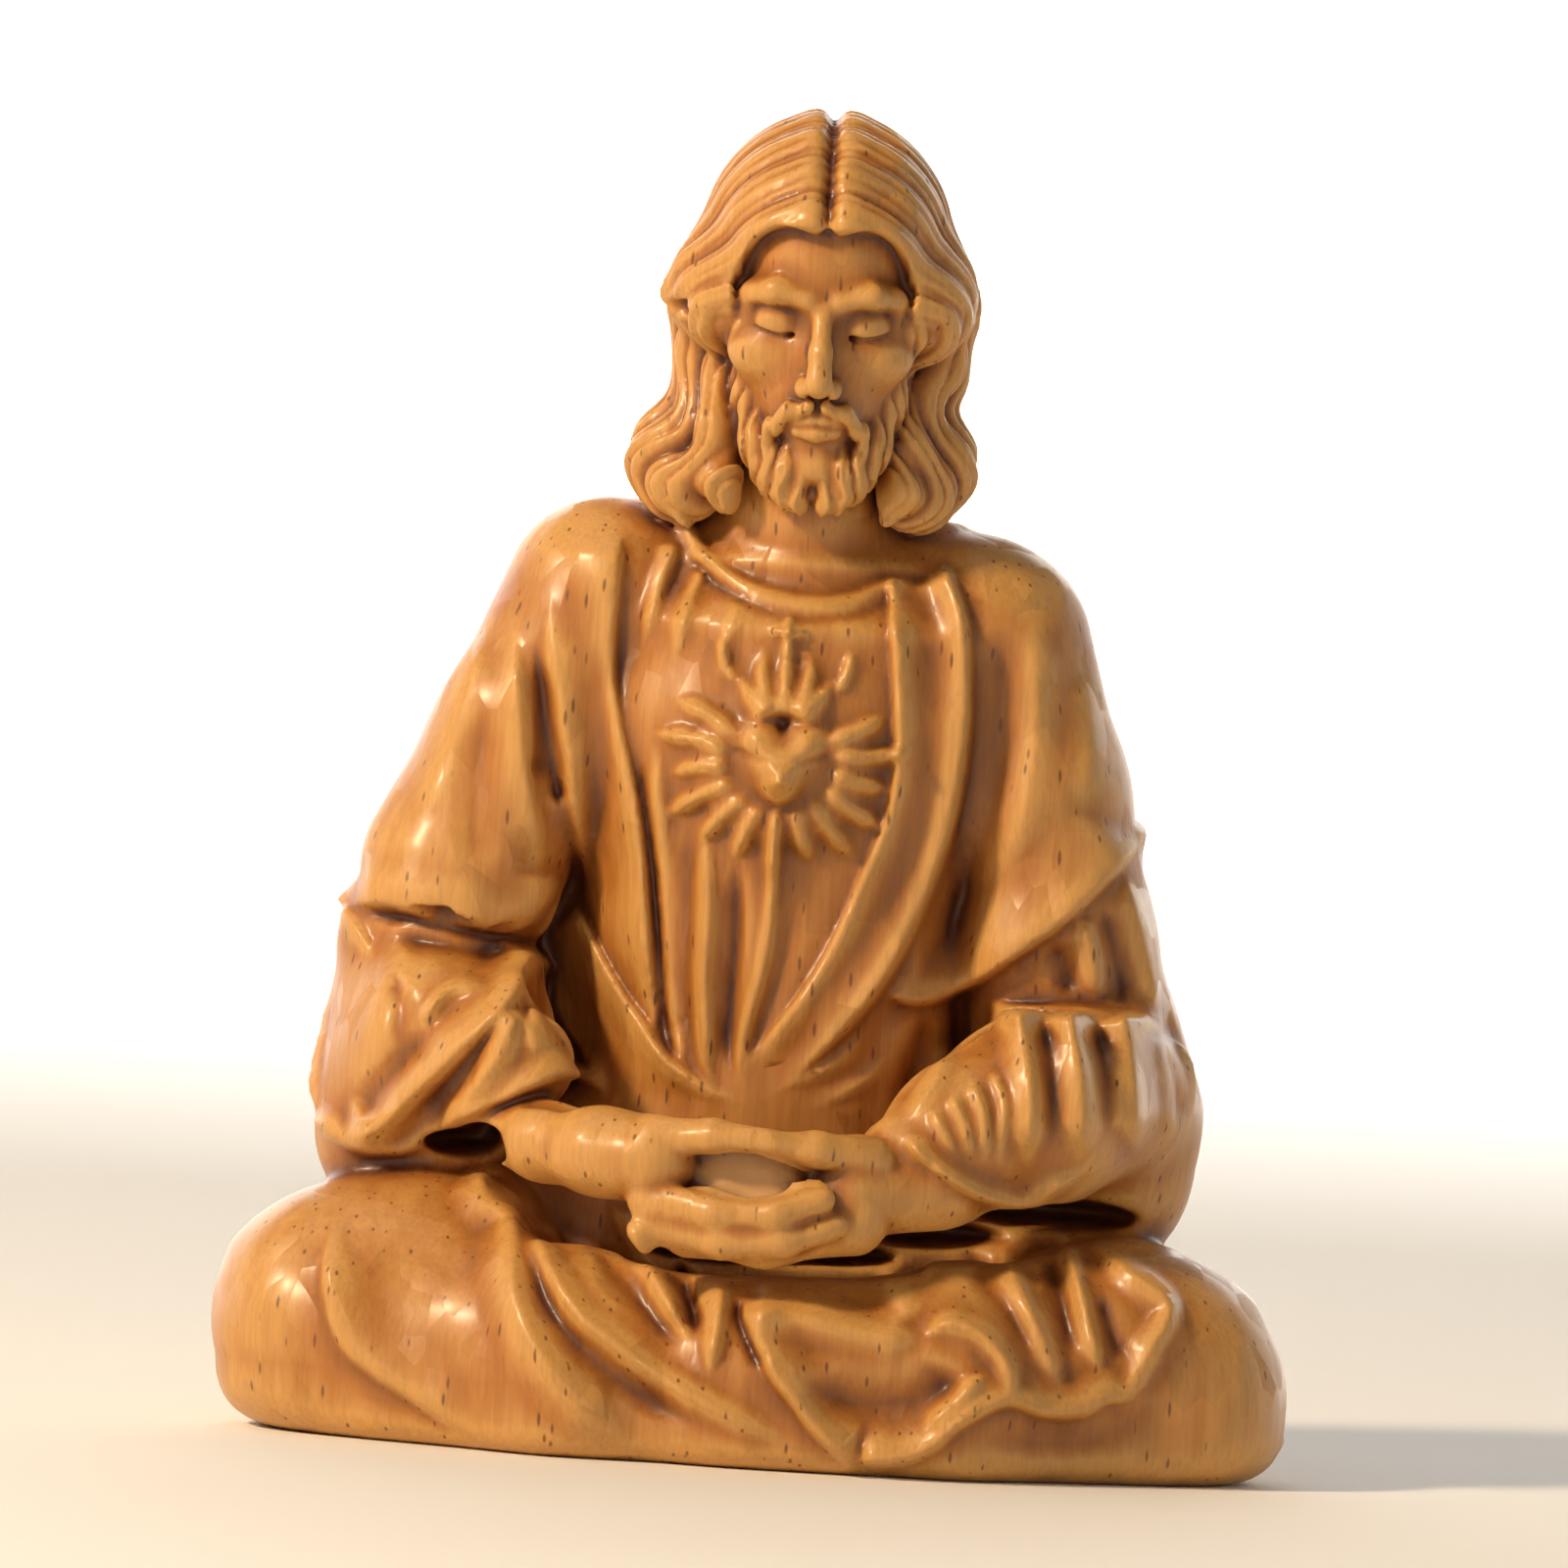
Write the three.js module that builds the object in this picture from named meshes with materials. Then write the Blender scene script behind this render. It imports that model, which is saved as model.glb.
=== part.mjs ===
// A seated figure in a robe and mantle, cross-legged, with its hands resting in its lap, carved from one block
// of wood. Millimetres, +Z up, the face towards -Y, the origin at the middle of the flat underside.
//
// The block is described as a signed distance: rounded forms are blended into a body, the drapery is carved into
// that body by strokes drawn on its front, back and sides, and the surface is then meshed and thinned out.

import * as THREE from "three";

// Driving dimensions

const WIDTH = 116.4; // knee to knee
const DEPTH = 72; // shins to the back of the seat
const HEIGHT = 145; // underside to the crown of the hair

const VIEW_TILT = THREE.MathUtils.degToRad(3); // the front strokes are drawn as seen from this far above level
const HEAD_CENTRE = [0.3, -4, 125];
const HEAD_BOW = THREE.MathUtils.degToRad(10); // how far the head bows

const CELL = 0.9; // spacing of the samples that the surface is meshed from
const HEAD_CELL = 0.58; // the same in the head
const NECK = [88, 102]; // between these heights the samples draw closer together
const MAP_CELL = 0.5; // spacing of the samples of a relief map
const MARGIN = 3; // empty space kept round the figure
const BAND = 4; // the relief reaches this far from the bare body
const TRIANGLES = 9600;
const SOLE = 1.4; // height at which the block is sawn off flat
const FLAT = 0.12; // what lies this close to the sawn face is taken to be on it

// Small vector and blending helpers

const clamp = THREE.MathUtils.clamp;
const lerp = THREE.MathUtils.lerp;
const smoothstep = THREE.MathUtils.smoothstep;

// Joins two distances with a fillet about k wide.
function softMin(a, b, k) {
  const h = Math.max(k - Math.abs(a - b), 0) / k;
  return Math.min(a, b) - (h * h * k) / 4;
}

// Cuts distance b out of distance a, with a fillet about k wide.
const softCut = (a, b, k) => -softMin(-a, b, k);

// Forms. Each is a function of a point that gives the distance to its surface, negative inside.

// A limb: a rounded cone from one ball to another.
function cone(a, ra, b, rb) {
  const [dx, dy, dz] = [b[0] - a[0], b[1] - a[1], b[2] - a[2]];
  const length2 = dx * dx + dy * dy + dz * dz;
  return (x, y, z) => {
    const [px, py, pz] = [x - a[0], y - a[1], z - a[2]];
    const t = clamp((px * dx + py * dy + pz * dz) / length2, 0, 1);
    return Math.hypot(px - t * dx, py - t * dy, pz - t * dz) - lerp(ra, rb, t);
  };
}

// An egg with its own radius along each axis.
function egg(c, r) {
  return (x, y, z) => {
    const [px, py, pz] = [(x - c[0]) / r[0], (y - c[1]) / r[1], (z - c[2]) / r[2]];
    const k = Math.hypot(px, py, pz);
    const slope = Math.hypot(px / r[0], py / r[1], pz / r[2]);
    return slope < 1e-9 ? -Math.min(...r) : (k * (k - 1)) / slope;
  };
}

// A run of cones through balls given as [x, y, z, radius].
const chain = (k, ...balls) =>
  blend(k, ...balls.slice(1).map((b, i) => cone(balls[i], balls[i][3], b, b[3])));

// An upright column of oval sections, each given as [height, half width, front, back].
function column(sections) {
  const top = sections.length - 1;
  return (x, y, z) => {
    let i = 0;
    while (i < top - 1 && z > sections[i + 1][0]) i++;
    const [low, high] = [sections[i], sections[i + 1]];
    const t = smoothstep(z, low[0], high[0]);
    const [half, front, back] = [1, 2, 3].map((j) => lerp(low[j], high[j], t));
    const deep = (back - front) / 2;
    const px = x / half;
    const py = (y - (back + front) / 2) / deep;
    const k = Math.hypot(px, py);
    const slope = Math.hypot(px / half, py / deep);
    const side = slope < 1e-9 ? -half : (k * (k - 1)) / slope;
    return Math.max(side, sections[0][0] - z, z - sections[top][0]);
  };
}

// Several forms joined with one fillet.
function blend(k, ...forms) {
  return (x, y, z) => forms.reduce((d, form) => softMin(d, form(x, y, z), k), 1e3);
}

// Several forms joined one after another, each given as [its own fillet, form].
function softForms(...parts) {
  return (x, y, z) => parts.reduce((d, [k, form]) => softMin(d, form(x, y, z), k), 1e3);
}

// A row of rounded ridges with sharp furrows between them, 0 in a furrow and 1 on a ridge.
const furrows = (phase) => Math.abs(Math.sin(phase / 2));

// The same form on both sides of the plane x = 0.
const mirrored = (form) => (x, y, z) => form(Math.abs(x), y, z);

// A point of the figure in the bowed head's own upright frame.
function headFrame(x, y, z) {
  const [c, s] = [Math.cos(HEAD_BOW), Math.sin(HEAD_BOW)];
  const [px, py, pz] = [x - HEAD_CENTRE[0], y - HEAD_CENTRE[1], z - HEAD_CENTRE[2]];
  return [px, py * c + pz * s, pz * c - py * s];
}

// The crossed legs under the skirt, with the seat behind them. Below "knee" height the sides drop almost plumb.
function legs() {
  const knee = 9;
  const form = blend(
    5,
    chain(4, [-18, 14, 16, 15], [-45.4, -8, 15, 12.4]),
    chain(4, [18, 14, 15, 14.5], [43.8, -7, 11.6, 12]),
    egg([-36, -6, 18.8], [13.4, 14, 11]),
    egg([39.4, -6, 16.2], [11.6, 14, 9.6]),
    chain(4, [-45.4, -10, 11.6, 12.2], [-20, -19, 10, 12.5], [8, -22, 8, 10]),
    chain(4, [44.4, -9, 8.6, 12], [20, -20, 9, 11.5], [-1, -23, 9, 9.5]),
    chain(4, [38, -9, 14.5, 10.5], [20, -18, 13, 10], [4, -21.5, 11.4, 8.4]),
    egg([0, -20, 13.6], [15, 9.5, 6.8]),
    egg([0, 15, 16], [38, 20, 19]),
    egg([0, 10, 26], [40, 15, 14]),
  );
  return (x, y, z) => form(x, y, z < knee ? knee - (knee - z) * 0.3 : z);
}

// The trunk in its tunic, the neck, and the mantle that spans the back from arm to arm.
function trunk() {
  return blend(
    4,
    column([
      [12, 30, -8, 32],
      [30, 24, -12, 29],
      [45, 20, -12, 25],
      [60, 21, -13, 22],
      [80, 24, -14.5, 20],
      [90, 22, -13, 19],
      [97, 14, -8, 15],
      [101, 8, -2, 12],
    ]),
    column([
      [10, 42, 6, 32],
      [40, 38, 3, 27],
      [60, 34, 2, 24],
      [80, 30, 1, 21],
      [92, 26, 0, 19],
      [101, 16, 0, 15],
    ]),
    chain(4, [-19, 4, 92.5, 9.2], [0, 5, 95, 9.5], [17.4, 4, 91.2, 9.8]),
    cone([0, 1.5, 94], 8, [0, -3, 110], 7),
  );
}

// The right arm, at -X: upper sleeve, wide lower sleeve and forearm.
function rightArm() {
  return blend(
    1.6,
    chain(3, [-21.2, 4, 91.8, 11], [-28.4, 3, 76, 10.3], [-35, 2, 62, 10.9]),
    blend(
      5,
      chain(4, [-37.2, 5, 53, 10.8], [-36.4, 2, 43, 10.8], [-38, 0, 37, 9.6], [-40.2, 0, 32.6, 8.6]),
      chain(3, [-35, -6, 44, 9.5], [-27, -14.6, 42.4, 5.6]),
    ),
  );
}

// The left arm, at +X: the mantle over the upper arm, the elbow and the gathered forearm sleeve.
function leftArm() {
  const [upper, elbow] = [[[19.4, 4, 88.6, 12.2], [25, 3, 73, 11.2], [28.8, 4, 58, 11]], [34.6, 4, 38.6, 11.4]];
  return blend(
    2.5,
    chain(3, ...upper, [32.4, 4, 46, 11], elbow, [35.6, 4, 32.6, 10]),
    chain(3, [35, -4, 42, 9.5], [27.5, -13, 40, 10], [20, -19, 38, 7], [14.5, -23, 35.5, 4.5]),
  );
}

// Both hands, laid in each other below the tips of the thumbs.
function hands() {
  const finger = 1.2;
  return blend(
    0.8,
    chain(2, [-30, -12, 35.8, 4.2], [-24, -20, 34.4, 4], [-18, -24.6, 34, 4.5], [-12.5, -27, 33.6, 4.9]),
    chain(finger, [-12, -28.5, 36, 2.4], [-6, -30.4, 36.8, 1.7], [-0.5, -31.2, 36.6, 1.4]),
    chain(finger, [-12.4, -29, 29.4, 2.4], [-5.5, -32.6, 28.6, 1.8], [1, -33.4, 29, 1.7], [6, -32.2, 30.8, 1.4]),
    chain(finger, [-11.5, -29.2, 26.9, 2.2], [-4.5, -32.2, 25.7, 1.8], [2, -32.8, 26.2, 1.7], [7.4, -31.4, 28, 1.4]),
    chain(2, [26, -14, 35, 5], [17, -22, 32.2, 5], [9, -26.5, 31.2, 4.6]),
    chain(finger, [11, -27.5, 35, 2.4], [5, -30.3, 36, 1.8], [0.6, -31.2, 36.4, 1.4]),
    chain(2, [9, -27, 28.6, 4.2], [0, -29.5, 26.6, 3.4], [-8, -29, 26, 2.6]),
    egg([-2, -24, 31], [9, 5, 5]),
  );
}

// The head, drawn in its own frame with the eyes half way up and the face in even thirds.
function head() {
  const skull = softForms(
    [3, egg([0, 1.8, 5.8], [11, 14.2, 13])],
    [3, egg([0, -2.5, -4.5], [8.9, 10.8, 13])],
    [2, egg([0, -8.6, -9.6], [4.8, 5.2, 4.6])],
    [2, egg([0, -9.4, -15], [3.4, 4.2, 3])],
    [2.5, mirrored(egg([6.6, -7.6, -3.4], [3.4, 3.9, 2.8]))],
    [1.5, mirrored(chain(1.5, [1.9, -12.4, 3.1, 1], [5, -11.7, 3.8, 1.2], [7.8, -9.2, 3, 1.2]))],
    [1.5, mirrored(egg([8, -5.2, 0.6], [1.9, 4.2, 3.6]))],
  );
  const socket = mirrored(egg([4.4, -14.7, 0.4], [3, 3.2, 2.3]));
  const lids = mirrored(egg([4.4, -9.2, 0.2], [2.9, 2.8, 2.6]));
  const nose = blend(
    0.7,
    chain(1, [0, -12.4, 2.2, 0.9], [0, -14.7, -2, 1.1], [0, -16.1, -5.2, 1.5]),
    mirrored(egg([1.6, -14.3, -6], [0.95, 1.5, 1.1])),
  );
  const lips = mirrored(chain(0.6, [0, -13.3, -10.4, 1.1], [3.2, -12.2, -10.4, 0.7]));
  const moustache = mirrored(
    chain(0.8, [0.9, -14.3, -8, 0.7], [3, -13.3, -8.9, 0.85], [4.6, -11.8, -10.8, 0.85], [5.2, -10.6, -13.2, 0.9]),
  );
  const jaw = [[8.6, -2.5, -4, 1.2], [7, -5.4, -9, 2], [5, -8, -13.6, 2.7], [2.9, -9.8, -16.4, 3]];
  const beard = mirrored(chain(2, ...jaw, [1.6, -10.8, -18.6, 2]));
  return (x, y, z) => {
    const face = softMin(softCut(skull(x, y, z), socket(x, y, z), 1.4), lids(x, y, z), 0.5);
    const bare = softMin(softMin(face, nose(x, y, z), 1), lips(x, y, z), 0.6);
    const locks = 0.6 * furrows(Math.atan2(Math.abs(x), -y - 1) * 22 + 1.2 * Math.sin(z * 0.75)) - 0.4;
    return softMin(softMin(bare, beard(x, y, z) - locks, 0.8), moustache(x, y, z), 0.4);
  };
}

// The hair on the head: a cap that is full at the temples, cut open over the face.
function hairCap() {
  const cap = blend(
    2.5,
    egg([0, 2.2, 7], [13.3, 16.8, 13.4]),
    egg([0, 7, -4], [13, 12, 15]),
    mirrored(egg([9.6, -1, 2], [6.8, 8.4, 7.2])),
  );
  const face = mirrored(blend(2, egg([3.8, -18, 3], [7.6, 14.4, 9.2]), egg([2.4, -16, -8], [7.6, 12.6, 15])));
  return (x, y, z) => softCut(cap(x, y, z), face(x, y, z), 0.5);
}

// The hair that falls over the ears to the shoulders and down the nape.
function fallingHair() {
  return blend(
    2,
    chain(2, [-12.8, -1, 126, 3.6], [-11, 0, 119, 4], [-11.2, -0.5, 113.5, 3.7], [-14.5, -1, 107.8, 4.7], [-13.8, -3, 105.4, 4.4]),
    chain(1.5, [-10.6, -4, 118, 2.2], [-10, -6, 111.5, 2.9], [-10.2, -7.2, 106.4, 2.4], [-8.8, -7.6, 103.6, 1]),
    chain(2, [13.2, -1, 126, 3.8], [12, 0, 119, 3.8], [10.4, 0, 113.5, 3.6], [12.6, -1, 108.6, 4.7], [11.7, -3, 105.4, 4.1]),
    chain(1.5, [10.8, -3.4, 117, 2.2], [10.2, -5.4, 110, 2.7], [10.2, -7, 105.4, 2.2], [9, -7.4, 102.8, 0.9]),
    chain(1.5, [-9.6, -8.4, 131, 2], [-13, -7.8, 128, 2.2], [-15.6, -5.4, 125.8, 1.7]),
    chain(3, [0, 5, 124, 12], [0, 7, 113, 11.5], [0, 9, 104, 10]),
  );
}

// How far the locks stand out of the hair, from a point's height and its place in the head's frame: across the
// crown they run from the parting to the ears, and below these they fall in waves.
function hairRelief(z, [px, py, pz]) {
  const side = Math.abs(px);
  const crown = furrows(30 * Math.atan2(pz + 8, 2 - py));
  const fall = furrows(19 * Math.atan2(px, py - 2) + 1.9 * Math.sin(z * 0.42 + 0.09 * px));
  const parting = 1.4 * Math.exp(-((side / 1.1) ** 2)) - 0.3 * Math.exp(-(((side - 2.6) / 1.6) ** 2));
  return lerp(0.7 * crown - 0.4 - parting, 1.2 * fall - 0.7, smoothstep(-pz, -2, 6));
}

// Deep cuts that no stroke reaches: gaps between arm and trunk, under the sleeves and under the hands.
function deepCuts() {
  return blend(
    1,
    // between the right arm and the trunk, at the hem of the upper sleeve and in the sleeve's mouth
    chain(1, [-27.8, -7, 83, 0.6], [-26.2, -8, 74, 1.5], [-23.6, -10.5, 65, 2.2], [-22.6, -12.5, 58, 2.4], [-24, -14, 53.5, 1.6]),
    chain(1, [-39, -8, 57.6, 0.8], [-36.5, -7.8, 57.1, 1.5], [-34.4, -7.6, 56.8, 1]),
    chain(1, [-30.5, -7, 55.8, 1], [-26, -7, 55.4, 1.9]),
    blend(1, egg([-31.8, -11, 33], [5.4, 13, 1.8]), egg([-30.6, -11, 34.2], [2.8, 13, 1.8])),
    chain(1, [-26, -21, 38.8, 0.8], [-22, -22.6, 39.4, 1.5], [-19, -23, 39, 0.9]),
    // at the mantle's hem
    chain(1, [21, -13, 52.8, 1.6], [25.4, -13, 53.6, 1.4]),
    chain(1, [19, -16, 47.6, 1.2], [23, -15, 48.6, 1.6]),
    // under the hands and the left sleeve
    egg([-4, -17, 22.8], [11, 13, 1.5]),
    egg([8, -17, 23.4], [10, 13, 1.7]),
    egg([20, -14, 26], [10, 15, 2.1]),
    egg([30, -9, 28.8], [11, 14, 2.2]),
    // between the folds of the skirt
    chain(1, [-6.8, -33, 18, 1.2], [-6.2, -34, 14.6, 0.5]),
    // under the wave of hair at the right temple
    chain(0.6, [-16.8, -7, 123.8, 0.7], [-13.8, -8.6, 124.2, 1.2], [-11.8, -9.6, 125.4, 0.8]),
    // the hollow between the hands
    egg([-2.3, -34.6, 32.8], [5.8, 6, 2.6]),
  );
}

// Strokes of carving. A stroke follows a smooth curve through points on one side of the figure; it stands "rise"
// above the body (below, where negative) and dies away over one width to its left and another to its right.

const FULL = 0; // an end that doesn't taper

function stroke(rise, widths, points, ends = [0.25, 0.25]) {
  const [left, right] = Array.isArray(widths) ? widths : [widths, widths];
  return { rise, left, right, ends, points };
}

// The front, as [right, up]. Down a stroke, its left is the figure's left, at +X.
function frontStrokes() {
  return [...tunicStrokes(), ...emblemStrokes(), ...rightSleeveStrokes(), ...leftSleeveStrokes(), ...skirtStrokes()];
}

function tunicStrokes() {
  return [
    // the collar, standing above the skin inside it
    stroke(1, [0.9, 2], [
      [-13, 100.5], [-10.5, 97], [-6, 94.2], [0, 92.9], [5, 93.4], [9.2, 95.4],
    ], [FULL, FULL]),
    // the mantle's edge over the right breast, and the deep fold beside it
    stroke(1.3, [0.9, 6], [
      [-20, 99], [-20.2, 91], [-20, 84], [-19, 78.5], [-17.2, 72], [-15.8, 65], [-14.5, 55], [-13, 46],
    ], [0.05, 0.2]),
    stroke(-2, [2.6, 1.3], [
      [-18.2, 78], [-15.6, 70], [-14, 62], [-12.8, 53], [-11.8, 45.5], [-10.6, 41.5],
    ], [0.6, 0.15]),
    stroke(1.2, [4.5, 1.5], [[-27.5, 92.5], [-26.5, 86], [-25, 80], [-23.4, 72], [-21.8, 64], [-20.8, 57]]),
    stroke(-1.5, [1.8, 1], [[-28.8, 88], [-27.4, 81], [-26.2, 74.5], [-24.8, 69]], [0.4, 0.1]),
    stroke(1.3, [0.9, 5], [[-22.6, 59], [-19.4, 53], [-15.5, 47.5], [-11, 42.5], [-7, 40]], [0.1, 0.25]),
    // the tunic's hanging folds
    stroke(1.4, [1.6, 2.2], [[-15, 78], [-14.2, 70], [-13, 60], [-12, 51], [-10, 43], [-8, 40]]),
    stroke(-0.7, 1.8, [[-10.8, 70], [-10.2, 56], [-9, 45], [-7, 41]]),
    stroke(1.5, [1.5, 2.1], [[-9, 69], [-8.2, 60], [-8, 50], [-7, 42], [-5.4, 39]]),
    stroke(-1.2, [1.4, 1.8], [[-5.4, 66], [-4.9, 55], [-5, 45], [-4, 40.4]]),
    stroke(1, 1.3, [[-1.8, 68], [-1.4, 60], [-2.2, 52], [-3.6, 44.5], [-3.4, 39.6]]),
    stroke(-0.5, 1.8, [[1.4, 62], [0.4, 54], [-1.8, 47], [-2, 42]]),
    // the folds that run out over the lap
    stroke(0.8, [1.2, 1.8], [[-15, 46.4], [-11.6, 42.6], [-7.4, 40], [-2.6, 38.6]], [0.2, 0.5]),
    stroke(0.6, [1.6, 1.2], [[10.4, 48], [7.4, 44.4], [3, 41.4], [-1, 39.6]], [0.3, 0.5]),
    stroke(0.5, 1.3, [[13.4, 46], [10.4, 42.4], [6.6, 39.8], [3, 38.6]], [0.3, 0.5]),
    // the mantle's turned edge, from the neck to the waist
    stroke(1.4, [4.6, 0.9], [
      [9.4, 96.5], [10.2, 89], [11, 82], [11.3, 76], [10.6, 70], [8.6, 64], [6, 57], [3, 51], [-0.5, 46],
      [-4.5, 41],
    ], [0.03, 0.2]),
    stroke(2.4, [1.1, 4.6], [
      [14.7, 98], [17.2, 92], [18, 86], [18.2, 80], [17.8, 74], [16.6, 67], [14.4, 60], [11.8, 54],
      [8.2, 48.5], [4, 43.5], [0.5, 39.5],
    ], [0.03, 0.2]),
    stroke(-1.1, 4, [[21.4, 92], [22, 80], [20.8, 68], [17.6, 58], [13, 50], [7.6, 43.6]], [0.1, 0.3]),
    // the mantle's hem across the left arm
    stroke(2.3, [8, 0.9], [
      [11, 51], [16, 50.8], [21, 53.2], [26, 57], [31, 61.2], [36, 66.8], [38.6, 70],
    ], [0.1, 0.12]),
    stroke(0.7, 3.4, [[24.5, 94], [26, 84], [25.5, 74], [23, 64]]),
    stroke(0.6, 3.4, [[31, 88], [32, 80], [31.5, 72]]),
    // pleats from the right shoulder
    stroke(1.2, [1.2, 2], [[-14, 98.5], [-15.4, 93.5], [-17, 86]], [0.1, 0.5]),
    stroke(0.9, [0.9, 1.5], [[-10.8, 96], [-12.3, 91.5], [-13.6, 84]], [0.1, 0.5]),
    stroke(0.5, 1.4, [[-6.6, 92.6], [-8, 88], [-9, 82]], [0.1, 0.5]),
  ];
}

// The heart on the breast, with flames and a cross above it and leaf-shaped rays round it.
function emblemStrokes() {
  const [cu, cv] = [-1.3, 75.6];
  const half = 2.9; // half the heart's width, to the middle of a lobe
  const rays = Array.from({ length: 13 }, (_, i) => {
    const angle = THREE.MathUtils.degToRad(152 + (i * 236) / 12);
    const [c, s, reach] = [Math.cos(angle), 0.94 * Math.sin(angle), 13.6 + 1.2 * Math.sin(2.4 * i)];
    const bend = [cu + 0.7 * reach * c + 0.4 * s, cv + 0.7 * reach * s - 0.4 * c];
    return stroke(1.8, 1.7, [[cu + 4.8 * c, cv + 4.8 * s], bend, [cu + reach * c, cv + reach * s]], [0.3, 0.35]);
  });
  const flames = [-2, -1, 0, 1, 2].map((lean) => {
    const tip = [cu + 2.3 * lean, cv + 13.6 - 1.1 * lean * lean];
    return stroke(1.9, 1.8, [[cu + 0.9 * lean, cv + 4], [cu + 2.5 * lean, cv + 8.8], tip], [0.2, 0.6]);
  });
  const lobes = [-1, 1].map((side) =>
    stroke(1.8, 3.3, [[cu + side * half, cv + 2], [cu + side * 0.3, cv - 1.8]], [FULL, FULL]),
  );
  return [
    stroke(0.9, 11.5, [[cu - 2, cv], [cu + 2, cv]], [FULL, FULL]),
    stroke(0.9, 8, [[cu - 0.6, cv + 0.4], [cu + 0.6, cv + 0.4]], [FULL, FULL]),
    ...lobes,
    stroke(1.4, 2.6, [[cu, cv - 1.6], [cu, cv - 6]], [0.2, 0.5]),
    stroke(-0.9, 1.1, [[cu, cv + 5], [cu, cv + 2.2]], [0.3, 0.5]),
    stroke(1.4, 0.95, [[cu, cv + 11.6], [cu, cv + 15]], [FULL, FULL]),
    stroke(1.4, 0.9, [[cu - 1.5, cv + 13.8], [cu + 1.5, cv + 13.8]], [FULL, FULL]),
    stroke(1.2, 1, [[cu - 7.3, cv + 13.4], [cu - 6.4, cv + 9.6], [cu - 5, cv + 8]]),
    stroke(1.2, 1, [[cu - 0.3, cv - 5], [cu, cv - 12], [cu - 0.2, cv - 19]], [0.1, 0.5]),
    ...rays,
    ...flames,
  ];
}

function rightSleeveStrokes() {
  return [
    // the upper sleeve and its hem
    stroke(1, [1.2, 4.5], [[-30.6, 89], [-29.8, 80], [-28.5, 72], [-26.8, 66.5], [-26.4, 61]]),
    stroke(0.7, 3.4, [[-34, 88], [-37, 76], [-39.5, 66]]),
    stroke(-0.6, 3.4, [[-33, 80], [-33.6, 69], [-33, 61]]),
    stroke(1.4, [5, 0.8], [
      [-46.8, 57.4], [-43, 57.8], [-38.5, 57.2], [-34.5, 56.8], [-31.5, 55.8], [-28, 56.4], [-25.5, 59],
      [-24.4, 62.5],
    ], [0.1, 0.1]),
    stroke(-1, 1.3, [[-46, 56.4], [-40, 56.2], [-34, 55.4], [-28, 54.6]]),
    // the wide lower sleeve, drawn up to a peak, and its mouth
    stroke(0.9, [1.2, 2], [[-47.4, 56.6], [-45.4, 54], [-43.4, 51]], [FULL, 0.6]),
    stroke(-0.8, 2.4, [[-42, 54.4], [-37.4, 53.4], [-32, 52.8], [-28.4, 53.4]]),
    // the long fold from the peak to the elbow, and the hook over it
    stroke(3, [3, 4.6], [
      [-26.2, 54], [-28.4, 49.4], [-31.5, 45.2], [-35, 41.4], [-38.6, 37.4], [-42, 33.8], [-46, 31.8],
    ], [0.04, 0.1]),
    stroke(-1.3, 2.6, [[-36.4, 44.6], [-39.4, 41.4], [-42.4, 37], [-44.6, 33.6]]),
    stroke(1.5, [1.2, 1.8], [[-38, 43.8], [-37.4, 46.6], [-35, 49.2], [-31, 49.8]]),
    stroke(-0.7, 1.8, [[-41.6, 50.6], [-40.4, 46.6], [-40.6, 42]]),
    // the plane between the long fold and the mouth
    stroke(-0.8, [1, 1.6], [[-29, 47], [-32.4, 42], [-35.8, 38], [-39.4, 34]]),
    stroke(1.9, [2.8, 2.2], [[-27.4, 47.4], [-29.8, 42], [-32.6, 37.8], [-35.4, 34]], [0.1, 0.2]),
    stroke(0.8, [3, 0.9], [[-26.4, 51.6], [-26.2, 46.6], [-25.8, 42]]),
    stroke(1.4, [3, 0.8], [
      [-47.5, 32.6], [-45, 31.4], [-42, 31], [-38.5, 31.6], [-35, 34], [-31, 36.4], [-27.4, 38.4],
      [-23, 40.4], [-20, 40.2], [-17.6, 38.2],
    ], [FULL, 0.1]),
  ];
}

function leftSleeveStrokes() {
  const rolls = [26.4, 32, 38]; // where the rolls of the gathered forearm sleeve stand
  const rollPoints = (u, i) => [[u - 0.8, 51], [u + 0.6, 45], [u + 1.4, 39], [u + 1.2, 33 + i]];
  const pleat = [[19.2, 41], [21, 37.6], [22, 33.4]];
  return [
    ...rolls.map((u, i) => stroke(2.3 - 0.3 * i, [2.6, 3.6], rollPoints(u, i), [0.06, 0.3])),
    stroke(1, 1.4, pleat, [0.1, 0.5]),
    stroke(1.5, [0.9, 3.4], [[22.5, 51], [26, 50.2], [31, 50.6], [37, 50.4], [41, 49.6]], [0.1, 0.1]),
    // the edge of the cuff
    stroke(1.6, [2.4, 0.9], [
      [14, 36.6], [16.5, 34.2], [20, 31.8], [24, 30], [28, 29.4], [31, 31.6], [35, 34.4],
    ], [0.1, 0.2]),
    // the sleeve between the mantle's hem and the rolls
    stroke(1.2, [1.4, 2.6], [[31.4, 61.6], [33.4, 57.5], [34.4, 51.6]]),
    stroke(-1, 1.8, [[34, 62.6], [36, 56.6], [37.2, 51]]),
    stroke(1.2, [1.4, 2.4], [[36.4, 66], [39, 58.6], [41, 50.6]]),
    stroke(-1, 2.2, [[29, 58], [30.6, 54.6], [31, 52]]),
    stroke(-1, 2, [[41.6, 52], [43.4, 45], [43.8, 38]]),
    // the tunic between them and the folds
    stroke(-0.7, 2, [[16, 50], [15, 44], [12.6, 38]]),
    stroke(0.7, 1.8, [[19, 47], [17, 42], [14.6, 38]]),
  ];
}

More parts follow.
